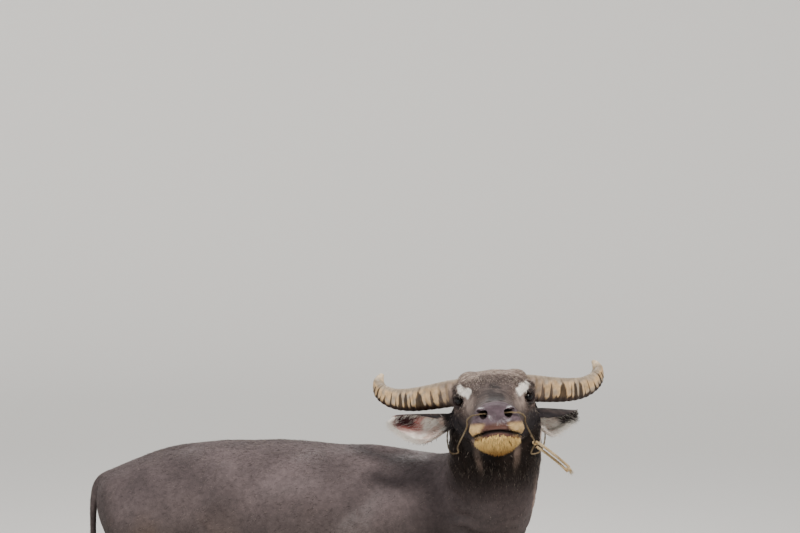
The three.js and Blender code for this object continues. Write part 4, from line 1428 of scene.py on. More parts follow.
@dataclass
class Horn:
    """Out, back and up: ridged across in front, smooth and pale above and at the tip."""

    side: Side
    head: LocalFrame
    stretch: float
    ridges: int = 21
    x: Sequence[float] = (-0.104, -0.122, -0.148, -0.180, -0.212, -0.246, -0.275, -0.294, -0.304)
    y: Sequence[float] = (0.062, 0.128, 0.200, 0.268, 0.328, 0.374, 0.390, 0.384, 0.374)
    z: Sequence[float] = (0.020, 0.015, 0.003, -0.006, -0.004, 0.016, 0.041, 0.061, 0.076)
    tip_colour: Vec = (0.70, 0.54, 0.36)
    top_colour: Vec = (0.36, 0.28, 0.20)
    face_colour: Vec = (0.60, 0.40, 0.21)
    streak: Vec = (0.018, 0.009, 0.005)
    root_colour: Vec = (0.15, 0.112, 0.095)
    # underside_shade: painted shade on faces that turn down
    underside_shade: Vec = (0.030, 0.014, 0.008)

    def build(self, material: bpy.types.Material) -> bpy.types.Object:
        """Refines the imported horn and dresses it."""
        node = f"horn_{self.side.label}"
        horn = copy_of_nodes([node], f"{node}_finish")
        flat = math.radians(60)
        with editing(horn):
            bpy.ops.mesh.tris_convert_to_quads(face_threshold=flat, shape_threshold=flat)
        apply_modifier(horn, "SUBSURF", levels=2, render_levels=2)
        apply_modifier(horn, "SUBSURF", levels=1, render_levels=1, subdivision_type="SIMPLE")
        self._finish(horn)
        round_off(horn)
        dress(horn, material)
        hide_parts(node)
        return horn

    def _finish(self, horn: bpy.types.Object) -> None:
        """Fine growth lines, chips between the ridges, and colour, with painted shade on the underside.

        Args:
            horn: The refined horn.
        """
        points, normals = points_of(horn), normals_of(horn)
        t, facing_up, facing_front = self._read(points, normals)
        end = self.ridges * 2
        number = t / (len(self.x) - 1) * (end + 8)
        ridge = np.cos(np.pi * (number - 1))
        ridged = step(3.5, 6.0, number) * step(end - 1, end - 7, number)
        front = step(-0.15, 0.55, facing_front) * ridged
        own = np.stack([0.0045 * number, 0.006 * facing_up, 0.004 * facing_front], axis=1)
        rough = ripple(own, 0.010, 61)
        rise = 0.0005 * front * ridge - 0.0016 * front * step(0.3, 0.9, -ridge + 0.7 * rough)
        lines = np.sin(number * 11 + 2 * rough) * step(44, 36, number)
        rise += 0.00035 * lines + 0.0004 * ripple(points, 0.007, 62)
        put_points(horn, points + rise[:, None] * normals)
        # low: how far a face turns down, where the horn gets painted shade
        low = step(-0.10, -0.62, facing_up + 0.15 * rough)
        fine = ripple(own * [2.6, 1, 1], 0.009, 66)
        drift = 0.8 * ripple(np.stack([0.02 * number, 0 * number, 0.01 * facing_up], axis=1), 0.05, 67)
        furrow = -np.cos(np.pi * (number - 1 + drift))
        valley = step(0.06, 0.28, 0.34 * furrow + 0.42 * rough + 0.62 * fine - 1.05 * (facing_up + 0.04))
        across = step(-0.15, 0.35, facing_front - 0.2 * facing_up) * ridged
        scratches = step(0.5, 1.0, fine + 0.6 * rough) * step(0.2, 0.6, facing_up) * ridged
        root = step(15.0, 4.0, number + 2.4 * rough) * step(1.1, 0.4, facing_up)
        colours = layered(
            plain(self.face_colour, points),
            (np.asarray(self.top_colour) * 1.15, step(0.0, 0.9, ripple(points, 0.030, 65))),
            # painted shade: the streaks a little darker on the underside, then the underside itself darkened
            (self.streak, (0.90 + 0.10 * low) * valley * across),
            (self.underside_shade, low * step(44, 38, number)),
            (self.top_colour, step(0.35, 0.75, facing_up + 0.08 * rough)),
            (self.streak, 0.4 * scratches),
            (np.asarray(self.root_colour) * (1 + 0.4 * fine[:, None]), 0.85 * root),
            (self.tip_colour, step(end - 5, end + 3, number)),
        )
        paint(horn, np.clip(colours * (1 + 0.16 * ripple(points, 0.018, 64))[:, None], DARKEST, 1))
        paint_wetness(horn, 0.6 * step(30, 44, number))

    def _read(self, points: np.ndarray, normals: np.ndarray) -> tuple[np.ndarray, np.ndarray, np.ndarray]:
        """Each point's place along the horn and how far its normal faces up and to the front.

        Args:
            points: The horn's points.
            normals: Its normals.

        Returns:
            The place along the horn, and how far up and to the front the normal faces.
        """
        samples = np.linspace(0, len(self.x) - 1, 260)
        x, y, z = (smooth_read(row, samples) for row in (self.x, self.y, self.z))
        path = np.stack([x, self.side.value * self.stretch * y, z], axis=1)
        at = self.head.inside(points)
        nearest = np.empty(len(at), int)
        block = 20000
        for start in range(0, len(at), block):
            part = slice(start, start + block)
            nearest[part] = ((at[part, None] - path) ** 2).sum(axis=2).argmin(axis=1)
        normal = self.head.way_in(normals)
        along = unit(np.gradient(path, axis=0))[nearest]
        up = unit(np.array([0, 0, 1]) - along * along[:, 2:3])
        front = np.cross(along, up) * self.side.value
        return samples[nearest], (normal * up).sum(axis=1), (normal * front).sum(axis=1)


# Eyes


@dataclass
class Eye:
    """A dark wet ball with a domed front, dark lid edges and lashes."""

    side: Side
    head: LocalFrame
    dome: float = 0.0024
    iris: float = 0.0145
    pupil: Vec = (0.0125, 0.0055)
    ball_colour: Vec = (0.006, 0.004, 0.004)
    iris_colour: Vec = (0.007, 0.0035, 0.002)
    pupil_colour: Vec = (0.003, 0.003, 0.004)
    lid_colour: Vec = (0.022, 0.014, 0.014)
    lid_thick: float = 0.0023
    lid_gap: float = 0.0022
    lash_count: int = 44
    lash_length: float = 0.016
    lash_width: float = 0.0006

    def __post_init__(self) -> None:
        """Works out the eye's own axes in the head's frame."""
        self.gaze = gaze_of(self.side)
        self.axes = axes_along(self.gaze)
        self.centre = np.array([0, self.side.value * EYE_APART, 0])

    def build(self, ball_material: bpy.types.Material, lid_material: bpy.types.Material) -> None:
        """Makes the ball, the lid edge and the lashes."""
        self._ball(ball_material)
        self._lid_edge(lid_material)
        self._lashes(lid_material)

    def _ball(self, material: bpy.types.Material) -> None:
        """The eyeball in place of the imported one."""
        ball = unit_ball(72, 48)
        ball.name = f"eyeball_{self.side.label}"
        points = points_of(ball)[:, [2, 0, 1]]
        across, up = EYE_RADIUS * points[:, 1], EYE_RADIUS * points[:, 2]
        off = np.hypot(across, up)
        ahead = points[:, 0] > 0
        radius = EYE_RADIUS + self.dome * step(0.016, 0.0, off) * ahead
        put_points(ball, self.head.outside((points * radius[:, None]) @ self.axes.T + self.centre))
        slot = np.hypot(across / self.pupil[0], up / self.pupil[1])
        colours = layered(
            plain(self.ball_colour, points),
            (self.iris_colour, step(self.iris + 0.001, self.iris - 0.001, off) * ahead),
            (self.pupil_colour, step(1.15, 0.9, slot) * ahead),
        )
        paint(ball, colours)
        paint_wetness(ball, np.ones(len(off)))
        round_off(ball)
        dress(ball, material)
        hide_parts(f"eye_{self.side.label}")

    def _rim_points(self, angle: np.ndarray, swell: float) -> np.ndarray:
        """Places on the lids' edge, in the head's frame.

        Args:
            angle: Where round the eye.
            swell: How much wider than the opening.

        Returns:
            Places in the head's frame.
        """
        a, b = lid_line(angle, self.gaze)
        a, b = a * swell, b * swell
        ahead = np.sqrt(np.maximum((EYE_RADIUS + self.lid_gap) ** 2 - a**2 - b**2, 0))
        return np.stack([ahead, a, b], axis=1) @ self.axes.T + self.centre

    def _lid_edge(self, material: bpy.types.Material) -> None:
        """A rounded dark edge that closes the gap between ball and lids."""
        count, sides = 84, 10
        middle = self._rim_points(np.linspace(0, 2 * np.pi, count, endpoint=False), 1.02)
        along = unit(np.roll(middle, -1, axis=0) - np.roll(middle, 1, axis=0))
        outward = unit(middle - self.centre)
        across = np.cross(along, outward)
        rings = rings_round(middle, 1.25 * self.lid_thick * outward, self.lid_thick * across, sides)
        edge = tube_object(f"lid_edge_{self.side.label}", self.head.outside(rings), sides, closed=True)
        paint(edge, plain(self.lid_colour, rings))
        paint_wetness(edge, np.full(len(rings), 0.9))
        round_off(edge)
        dress(edge, material)

    def _lashes(self, material: bpy.types.Material) -> None:
        """Long lashes on the upper lid, curving out and down."""
        angle = np.linspace(0, 2 * np.pi, 360, endpoint=False)
        upper = angle[np.sin(angle) > 0.12]
        rim = self._rim_points(upper[np.linspace(0, len(upper) - 1, self.lash_count).astype(int)], 1.04)
        rng = np.random.default_rng(70 + self.side.value)
        outward = self.head.way_out(unit(rim - self.centre))
        ways = unit(outward + self.head.way_out([[0, 0, 0.25]]) + 0.12 * rng.normal(size=rim.shape))
        down = self.head.way_out([[0.05, 0, -0.55]]) * np.ones((len(rim), 1))
        lengths = self.lash_length * rng.uniform(0.75, 1.15, len(rim))
        lashes = Tufts(f"lashes_{self.side.label}", material, joints=3)
        widths = np.full(len(rim), self.lash_width)
        lashes.grow(self.head.outside(rim), ways, down, outward, lengths, widths, plain((0.02,) * 3, rim))


# Hair


@dataclass
class Tufts:
    """Many thin solid hairs in one mesh.

    Args:
        name: The mesh's name.
        material: Its finish.
        slot: Not used.
        joints: Stretches along a hair.
        sink: How deep the roots sit.
        flat: Thickness as a share of the width.
    """

    name: str
    material: bpy.types.Material
    slot: str = "hide"
    joints: int = 2
    sink: float = 0.0008
    flat: float = 0.5

    def grow(
        self,
        roots: np.ndarray,
        ways: np.ndarray,
        bends: np.ndarray,
        normals: np.ndarray,
        lengths: np.ndarray,
        widths: np.ndarray,
        colours: np.ndarray,
        uv: np.ndarray | None = None,
        tip_colours: np.ndarray | None = None,
    ) -> bpy.types.Object:
        """Makes the hairs and dresses them.

        Args:
            roots: Where they grow, one row each.
            ways: The way each leaves the skin.
            bends: How far each has turned aside by its tip, as a share of its length.
            normals: The skin's normals at the roots.
            lengths: Lengths in metres.
            widths: Widths at the root in metres.
            colours: Colours at the root.
            uv: The roots' places on the skin's unwrap, or its corner if left out.
            tip_colours: Colours at the tip, as at the root if left out.

        Returns:
            The hairs' object.
        """
        colours = np.clip(colours, 0, 1)
        tips = colours if tip_colours is None else tip_colours
        uv = np.zeros((len(roots), 2)) if uv is None else uv
        steps = np.arange(self.joints) / self.joints
        across = unit(np.cross(ways, normals) + 1e-9)
        base = roots - self.sink * normals
        places = []
        for t in steps:
            middle = base + lengths[:, None] * (t * ways + t * t * bends)
            half = (widths * (1 - 0.97 * t**1.6) / 2)[:, None]
            up = np.cross(across, unit(ways + 2 * t * bends))
            places += [middle + across * half, middle - across * half, middle + up * half * 2 * self.flat]
        places.append(base + lengths[:, None] * (ways + bends))
        points = np.stack(places, axis=1)
        share = np.append(np.repeat(steps, 3), 1.0)[None, :, None]
        tint = colours[:, None] * (1 - share) + tips[:, None] * share
        hair = self._faces()
        faces = (np.arange(len(roots)) * points.shape[1])[:, None, None] + hair[None]
        obj = mesh_object(self.name, points.reshape(-1, 3), faces.reshape(-1, 3))
        paint(obj, tint.reshape(-1, 3))
        patch = np.stack([[0.0, 1.0, 0.5] * self.joints + [0.5], share.ravel()], axis=1) - 0.5
        spot = np.clip(uv, 0.002, 0.998)[:, None] + 0.003 * patch[None]
        layer = obj.data.uv_layers.new(name=SKIN_UV)
        layer.data.foreach_set("uv", spot.reshape(-1, 2)[faces.ravel()].astype(np.float32).ravel())
        round_off(obj)
        dress(obj, self.material)
        log.info("%s: %d hairs, %d faces", self.name, len(roots), len(obj.data.polygons))
        return obj

    def _faces(self) -> np.ndarray:
        """One hair's triangles: three sides, closed at the root and drawn to a point."""
        last = 3 * (self.joints - 1)
        faces = []
        for ring in range(0, last + 1, 3):
            for k in range(3):
                a, b = ring + k, ring + (k + 1) % 3
                faces += [(a, b, last + 3)] if ring == last else [(a, b, b + 3), (a, b + 3, a + 3)]
        return np.array([*faces, (0, 2, 1)])


@dataclass
class SkinSampler:
    """Picks places on the finished skin."""

    points: np.ndarray
    normals: np.ndarray
    faces: np.ndarray
    uv: np.ndarray
    areas: np.ndarray

    @classmethod
    def of(cls, skin: bpy.types.Object) -> "SkinSampler":
        """Reads the skin's triangles."""
        mesh = skin.data
        mesh.calc_loop_triangles()
        faces = np.empty(len(mesh.loop_triangles) * 3, np.int32)
        loops = np.empty_like(faces)
        mesh.loop_triangles.foreach_get("vertices", faces)
        mesh.loop_triangles.foreach_get("loops", loops)
        faces, loops = faces.reshape(-1, 3), loops.reshape(-1, 3)
        uv = np.empty(len(mesh.loops) * 2, np.float32)
        mesh.uv_layers[SKIN_UV].data.foreach_get("uv", uv)
        points, normals = points_of(skin), normals_of(skin)
        a, b, c = (points[faces[:, k]] for k in range(3))
        areas = np.linalg.norm(np.cross(b - a, c - a), axis=1) / 2
        return cls(points, normals, faces, uv.reshape(-1, 2)[loops].astype(float), areas)

    def middles(self) -> np.ndarray:
        """The triangles' middles."""
        return self.points[self.faces].mean(axis=1)

    def pick(self, count: int, weight: np.ndarray, seed: int) -> tuple[np.ndarray, np.ndarray, np.ndarray]:
        """Draws places.

        Args:
            count: How many.
            weight: How likely each triangle is per area.
            seed: Which draw.

        Returns:
            Places, normals and places on the unwrap.
        """
        rng = np.random.default_rng(seed)
        chance = self.areas * weight
        chosen = rng.choice(len(chance), count, p=chance / chance.sum())
        r1, r2 = np.sqrt(rng.random(count)), rng.random(count)
        share = np.stack([1 - r1, r1 * (1 - r2), r1 * r2], axis=1)
        corner = self.faces[chosen]
        places = (self.points[corner] * share[..., None]).sum(axis=1)
        normals = unit((self.normals[corner] * share[..., None]).sum(axis=1))
        return places, normals, (self.uv[chosen] * share[..., None]).sum(axis=1)


@dataclass
class Coat:
    """All the hair that grows from the skin. Each draw and each set of blotches has a seed of its own."""

    head: LocalFrame
    body: LocalFrame
    marks: Markings
    ears: Sequence[Ear]
    sampler: SkinSampler
    material: bpy.types.Material
    face_hairs: int = 19500
    body_hairs: int = 48000
    chin_hairs: int = 3600
    throat_hairs: int = 3400
    ear_hairs: int = 2600
    switch_hairs: int = 420
    whorl: Vec = (-0.075, -0.022)

    def build(self) -> None:
        """Grows every part of the coat."""
        self._face()
        self._trunk()
        self._chin()
        self._throat()
        for ear in self.ears:
            self._ear(ear)
        self._switch()

    @staticmethod
    def _laid(normals: np.ndarray, lie: np.ndarray, stand: float, stray: float, seed: int) -> np.ndarray:
        """Directions close to the skin.

        Args:
            normals: The skin's normals.
            lie: The way that the hair runs at each place.
            stand: How far it is raised off the skin.
            stray: How far single hairs depart from the lie.
            seed: Which draw.

        Returns:
            One direction for each place.
        """
        rng = np.random.default_rng(seed)
        flat = lie + stray * rng.normal(size=lie.shape)
        flat = unit(flat - normals * (flat * normals).sum(axis=1, keepdims=True))
        return unit(flat + stand * normals)

    def _keep_clear(self, middles: np.ndarray) -> np.ndarray:
        """1 where hair may grow on the head, 0 at eyes, nose pad, lips and inside the nostrils."""
        u, side, w = self.head.folded(middles)
        eye = np.hypot(np.hypot(u - 0.008, side - 0.124), w) > 0.027
        pad = (u < 0.272 - 0.5 * np.clip(w, 0, None)) | (w < -0.048)
        lips = (u < 0.25) | (side > 0.03) | (w < -0.10)
        return eye * pad * lips

    def _face(self) -> None:
        """Short coarse hair that parts at the whorl of the forehead and runs to the muzzle."""
        middles = self.sampler.middles()
        u, v, w = self.head.inside(middles).T
        weight = step(-0.24, -0.12, u) * step(-0.26, -0.16, w) * self._keep_clear(middles)
        for ear in self.ears:
            weight = weight * ~ear.covers(middles, 0.22)
        weight *= 0.5 + 0.9 * step(0.0, 0.06, w) + 0.8 * step(0.24, 0.27, u)
        for side in Side:
            s = side.value
            roots, normals, uv = self.sampler.pick(self.face_hairs, weight * (np.sign(v) == s), 101 + s)
            a, b, c = self.head.inside(roots).T
            ahead, beside = a - self.whorl[0], b - self.whorl[1]
            lie = np.stack([ahead + 0.02, beside, np.where(c > 0.03, 0.0, -0.12)], axis=1)
            lie[:, 0] += 0.4 * step(0.0, 0.08, a)
            temple = step(0.080, 0.105, np.abs(b)) * step(-0.03, -0.07, a) * step(-0.05, -0.02, c)
            lie[:, 1] += s * 0.5 * temple
            ways = self._laid(normals, unit(self.head.way_out(lie)), 0.16, 0.14, 103 + s)
            rng = np.random.default_rng(105 + s)
            lengths = rng.uniform(0.008, 0.015, len(roots)) * (0.6 + 0.5 * step(0.14, -0.02, a))
            turn, away = np.arctan2(beside, ahead), np.hypot(beside, ahead)
            strokes = ripple(np.stack([np.cos(turn), np.sin(turn), 2.5 * away], axis=1), 0.16, 107)
            paler = 0.10 + 0.95 * step(-0.1, 0.45, strokes) * step(0.13, 0.06, away) * step(0.02, 0.05, c)
            paler += 0.22 * step(0.045, 0.08, c)
            cheek = step(-0.01, 0.04, a) * step(0.26, 0.20, a) * step(0.040, 0.060, np.abs(b))
            paler += 0.25 * cheek * step(-0.06, -0.02, c)
            paler *= 1 - 0.9 * step(0.052, 0.034, np.abs(b)) * step(0.02, 0.06, a) * step(0.065, 0.045, c)
            hairs = [roots, normals, uv, ways, lengths, paler]
            self._grow(f"coat_face_{side.label}", *hairs, 0.00085, 108 + s, glow=0.5)
            few = rng.random(len(roots)) < 0.16 + 0.2 * step(0.03, 0.06, c)
            hairs = [roots[few], normals[few], uv[few], ways[few], 1.15 * lengths[few], 0.85 * paler[few]]
            self._grow(f"coat_strokes_{side.label}", *hairs, 0.0018, 208 + s, glow=0.7)

    def _trunk(self) -> None:
        """Sparse hair over the body, longer along the spine and shorter on the legs."""
        middles = self.sampler.middles()
        u, _, w = self.head.inside(middles).T
        _, across, z = self.body.inside(middles).T
        weight = np.where((u > -0.2) & (w > -0.22), 0.0, 1.0) * step(0.055, 0.09, z)
        for ear in self.ears:
            weight = weight * ~ear.covers(middles, 0.1)
        weight *= 0.6 + 0.8 * step(1.05, 1.2, z) + 0.6 * step(0.5, 0.3, z)
        for side in Side:
            s = side.value
            roots, normals, uv = self.sampler.pick(self.body_hairs, weight * (np.sign(across) == s), 110 + s)
            x, y, z = self.body.inside(roots).T
            lie = np.stack([-1 + 0 * x, 0.15 * np.sign(y), -0.55 + 0 * x], axis=1)
            neck, legs = step(0.10, 0.24, x)[:, None], step(0.62, 0.52, z)[:, None]
            lie = lie * (1 - neck) + np.array([-0.1, 0.55, -0.85]) * neck
            lie = unit(lie * (1 - legs) + np.array([-0.12, 0.0, -1.0]) * legs)
            ways = self._laid(normals, lie, 0.14, 0.16, 112 + s)
            lengths = np.random.default_rng(114 + s).uniform(0.010, 0.020, len(roots))
            lengths *= (1 + 0.4 * step(1.12, 1.24, z)) * (1 - 0.4 * legs[:, 0])
            hairs = [roots, normals, uv, ways, lengths, 0.16 + 0.14 * step(1.0, 1.2, z)]
            self._grow(f"coat_{side.label}", *hairs, 0.00095, 116 + s, joints=1)

    def _grow(
        self,
        name: str,
        roots: np.ndarray,
        normals: np.ndarray,
        uv: np.ndarray,
        ways: np.ndarray,
        lengths: np.ndarray,
        paler: np.ndarray,
        width: float,
        seed: int,
        joints: int = 2,
        glow: float = 0.35,
    ) -> None:
        """Adds one piece of coat whose hairs carry the skin's colours, painted light and shade among them,
        some paler, some darker.

        Args:
            name: The piece's name.
            roots: Where the hairs grow, one row each.
            normals: The skin's normals there.
            uv: Their places on the skin's unwrap.
            ways: The way each hair leaves the skin.
            lengths: Each hair's length.
            paler: How likely each hair is a pale one.
            width: The usual width of a hair.
            seed: Which draw.
            joints: Stretches along a hair.
            glow: How pale the pale hairs are.
        """
        rng = np.random.default_rng(seed)
        p = self.marks.palette
        colours = self.marks.colours(roots)
        for ear in self.ears:
            colours = ear.colour(roots, normals, colours, p)
        mix = rng.random(len(roots))[:, None]
        light = np.asarray(p.hair_pale) * glow + colours * 0.8
        colours = np.where(mix < paler[:, None], light, np.where(mix > 0.8, colours * 0.5, colours * 1.05))
        bends = -0.10 * normals + 0.10 * rng.normal(size=roots.shape)
        widths = width * rng.uniform(0.7, 1.3, len(roots))
        tufts = Tufts(name, self.material, joints=joints)
        tufts.grow(roots, ways, bends, normals, lengths, widths, colours, uv)

    def _chin(self) -> None:
        """Pale golden bristles that hang over the lower lip and chin, with painted shade of darker orange low
        on the beard, most at the tips.
        """
        u, side, w = self.head.folded(self.sampler.middles())
        weight = step(0.215, 0.25, u) * step(-0.007, -0.014, lips_far(side, w)) * step(-0.142, -0.128, w)
        roots, normals, uv = self.sampler.pick(self.chin_hairs, weight, 121)
        rng = np.random.default_rng(122)
        _, v, w = self.head.inside(roots).T
        out = self.head.way_in(normals)
        lie = np.stack([0.30 * out[:, 0], 0.30 * out[:, 1] + 0.8 * v, -1 + 0 * v], axis=1)
        ways = unit(self.head.way_out(lie)) + 0.30 * normals * step(-0.11, -0.09, w)[:, None]
        ways = unit(ways + 0.05 * rng.normal(size=roots.shape))
        lengths = rng.uniform(0.015, 0.025, len(roots)) * (0.75 + 0.4 * step(-0.08, -0.11, w))
        p = self.marks.palette
        # painted shade: the low bristles turn darker orange, most at their tips
        low = step(-0.095, -0.130, w)
        start = layered(plain(p.bristle, roots), (p.bristle_shade, 0.5 * low))
        start = start * rng.uniform(0.35, 1.1, (len(roots), 1))
        end = layered(plain(p.bristle, roots), (p.bristle_shade, low))
        bends = -0.16 * normals + 0.05 * rng.normal(size=roots.shape)
        widths = rng.uniform(0.0010, 0.0019, len(roots)) * np.where(rng.random(len(roots)) < 0.3, 1.8, 1.0)
        tufts = Tufts("chin_bristles", self.material, joints=3, sink=0.001, flat=0.4)
        tufts.grow(roots, ways, bends, normals, lengths, widths, start, uv, end)

    def _throat(self) -> None:
        """Dark wet hair under the jaw, its colour partly painted shade."""
        u, _, w = self.head.inside(self.sampler.middles()).T
        weight = step(-0.13, -0.17, w + 0.25 * u) * step(0.24, 0.16, u)
        weight = weight * step(-0.16, -0.08, u) * step(-0.44, -0.26, w)
        roots, normals, uv = self.sampler.pick(self.throat_hairs, weight, 131)
        rng = np.random.default_rng(132)
        lie = unit(self.head.way_out(np.tile([-0.25, 0.0, -1.0], (len(roots), 1))))
        ways = self._laid(normals, lie, 0.14, 0.14, 133)
        colours = self.marks.colours(roots) * rng.uniform(0.6, 1.5, (len(roots), 1))
        lengths = rng.uniform(0.010, 0.022, len(roots))
        widths = rng.uniform(0.0009, 0.0016, len(roots))
        tufts = Tufts("throat_hair", self.material)
        tufts.grow(roots, ways, -0.08 * normals, normals, lengths, widths, colours, uv)

    def _ear(self, ear: Ear) -> None:
        """Pale hair that fills the cup and fringes its lower edge and tip.

        Args:
            ear: The ear.
        """
        rng = np.random.default_rng(140 + ear.side.value)
        count, low_edge = self.ear_hairs, 1 if ear.across[2] < 0 else -1
        t = rng.uniform(0.20, 0.97, count)
        spread = rng.random(count)
        by_edge = low_edge * (1 - 0.25 * rng.random(count) ** 2)
        share = np.where(spread < 0.55, by_edge, rng.uniform(-0.97, 0.97, count))
        inset = smooth_read([ear.wall, ear.wall * 0.55], t)
        roots = ear.surface(t, share, inset * (0.4 + 0.6 * (np.abs(share) < 0.9)))
        normals = unit(ear.surface(t, share * 0, inset + 0.02) - roots)
        here = ear.surface(t, share, inset)
        ahead = ear.surface(np.minimum(t + 0.03, 1.0), share, inset) - here
        edgewise = ear.surface(t, np.clip(share + 0.06 * low_edge, -1.2, 1.2), inset) - here
        fringe = np.abs(share) > 0.74
        ways = unit(ahead) * 0.9 + unit(edgewise) * np.where(fringe, 0.75, 0.25)[:, None] + 0.35 * normals
        ways = unit(ways + 0.16 * rng.normal(size=roots.shape))
        lengths = rng.uniform(0.016, 0.034, count) * np.where(fringe, 1.15, 0.8)
        lengths *= 1 - (0.35 + 0.3 * ear.cup_shade) * step(0.80, 0.98, t)
        p = self.marks.palette
        under = ear.colour(roots, self.head.way_out(plain(ear.out, roots)), plain(p.face, roots), p)
        white = np.asarray(p.white) * rng.uniform(0.92, 1.16, (count, 1))
        edge, inner = 0.96 - 0.7 * ear.cup_shade * step(0.66, 0.86, t), 0.75 - 0.6 * step(0.45, 0.62, t)
        pale = rng.random((count, 1)) < np.where(fringe, edge, inner)[:, None]
        tan = 0.8 * (rng.random(count) < 0.38 * step(0.62, 0.35, t))
        colours = np.where(pale, layered(white, (p.inner_ear, tan)), under * 1.1)
        drop = self.head.way_out([[0, 0, -0.16]]) * np.ones((count, 1))
        widths = rng.uniform(0.0008, 0.0015, count)
        uv = np.stack([0.1 + 0.8 * t, 0.5 + 0.4 * share], axis=1)
        tufts = Tufts(f"ear_hair_{ear.side.label}", self.material, joints=3)
        tufts.grow(roots, ways, drop, normals, lengths, widths, colours, uv)

    def _switch(self) -> None:
        """The long dark hair at the end of the tail."""
        rng = np.random.default_rng(151)
        low, high = (np.array(corner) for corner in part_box("tail_switch"))
        top = np.array([(low[0] + high[0]) / 2, (low[1] + high[1]) / 2, high[2]])
        count = self.switch_hairs
        angle = rng.uniform(0, 2 * np.pi, count)
        out = np.stack([np.cos(angle), np.sin(angle), 0 * angle], axis=1)
        drop = rng.random(count)
        roots = top + out * (0.013 * (1 - 0.6 * drop))[:, None]
        roots[:, 2] -= 0.075 * drop - 0.012
        ways = unit(out * rng.uniform(0.05, 0.24, (count, 1)) + [0, 0, -1])
        bends = -0.12 * out + 0.05 * rng.normal(size=out.shape)
        lengths = np.minimum(rng.uniform(0.11, 0.19, count), roots[:, 2] - low[2])
        shade = rng.uniform(0.5, 1.6, (count, 1)) * np.asarray(self.marks.palette.hair_dark)
        widths = rng.uniform(0.0022, 0.0045, count)
        uv = np.tile([0.5, 0.02], (count, 1)) + 0.01 * rng.random((count, 2))
        tufts = Tufts("switch_hair", self.material, joints=7, sink=0.004)
        hair = tufts.grow(roots, ways, bends, out, lengths, widths, shade, uv)
        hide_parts("tail_switch")


# Hooves


@dataclass
class Feet:
    """Hooves and dew claws."""

    cell: float = 0.0022
    horn_dark: Vec = (0.052, 0.042, 0.036)
    horn_pale: Vec = (0.20, 0.165, 0.13)
    ring_step: float = 0.0062
    ring_rise: float = 0.00030
    bar_ahead: float = 0.014

    def build(self, material: bpy.types.Material) -> None:
        """Refines each imported hoof and dew claw."""
        for leg in LEGS:
            self._hoof(f"hoof_{leg}", material)
            for place in ("inner", "outer"):
                self._dew_claw(f"dewclaw_{place}_{leg}", material)

    def _hoof(self, node: str, material: bpy.types.Material) -> None:
        """Two rounded claws with growth rings, paler and worn at the ground.

        Args:
            node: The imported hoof's name.
            material: The hooves' finish.
        """
        hoof = copy_of_nodes([node], f"{node}_finish")
        apply_modifier(hoof, "REMESH", mode="VOXEL", voxel_size=self.cell, adaptivity=0.0)
        relax(hoof, 0.7 * step(0.002, 0.009, points_of(hoof)[:, 2]) + 0.02, 10)
        points, normals = points_of(hoof), normals_of(hoof)
        low, high = (np.array(corner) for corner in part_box(node))
        between = step(0.022, 0.010, np.abs(points[:, 1] - (low[1] + high[1]) / 2))
        points[:, 0] += self.bar_ahead * between * step(low[0] + 0.040, low[0] + 0.012, points[:, 0])
        side = step(0.6, 0.3, np.abs(normals[:, 2])) * step(0.003, 0.008, points[:, 2])
        wave = np.sin(2 * np.pi * (points[:, 2] + 0.004 * ripple(points, 0.03, 81)) / self.ring_step)
        points += (self.ring_rise * side * wave)[:, None] * normals
        points[:, 2] = np.maximum(points[:, 2], 0)
        put_points(hoof, points)
        worn = step(0.018, 0.0, points[:, 2]) + 0.3 * ripple(points, 0.02, 82) + 0.15 * wave
        self._dress(hoof, node, material, 0.6 * worn, 50)

    def _dew_claw(self, node: str, material: bpy.types.Material) -> None:
        """A blunt cone behind the fetlock."""
        claw = copy_of_nodes([node], f"{node}_finish")
        apply_modifier(claw, "SUBSURF", levels=2, render_levels=2)
        self._dress(claw, node, material, 0.3 + 0.3 * ripple(points_of(claw), 0.01, 83))

    def _dress(
        self,
        piece: bpy.types.Object,
        node: str,
        material: bpy.types.Material,
        pale: np.ndarray,
        angle: float | None = None,
    ) -> None:
        """Colours a piece and puts it in its node's place.

        Args:
            piece: The finished mesh.
            node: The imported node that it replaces.
            material: Its finish.
            pale: How pale each point is, from 0 to 1.
            angle: Edges sharper than this stay sharp.
        """
        paint(piece, layered(plain(self.horn_dark, pale), (self.horn_pale, pale)))
        round_off(piece, angle)
        dress(piece, material)
        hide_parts(node)


# Rope


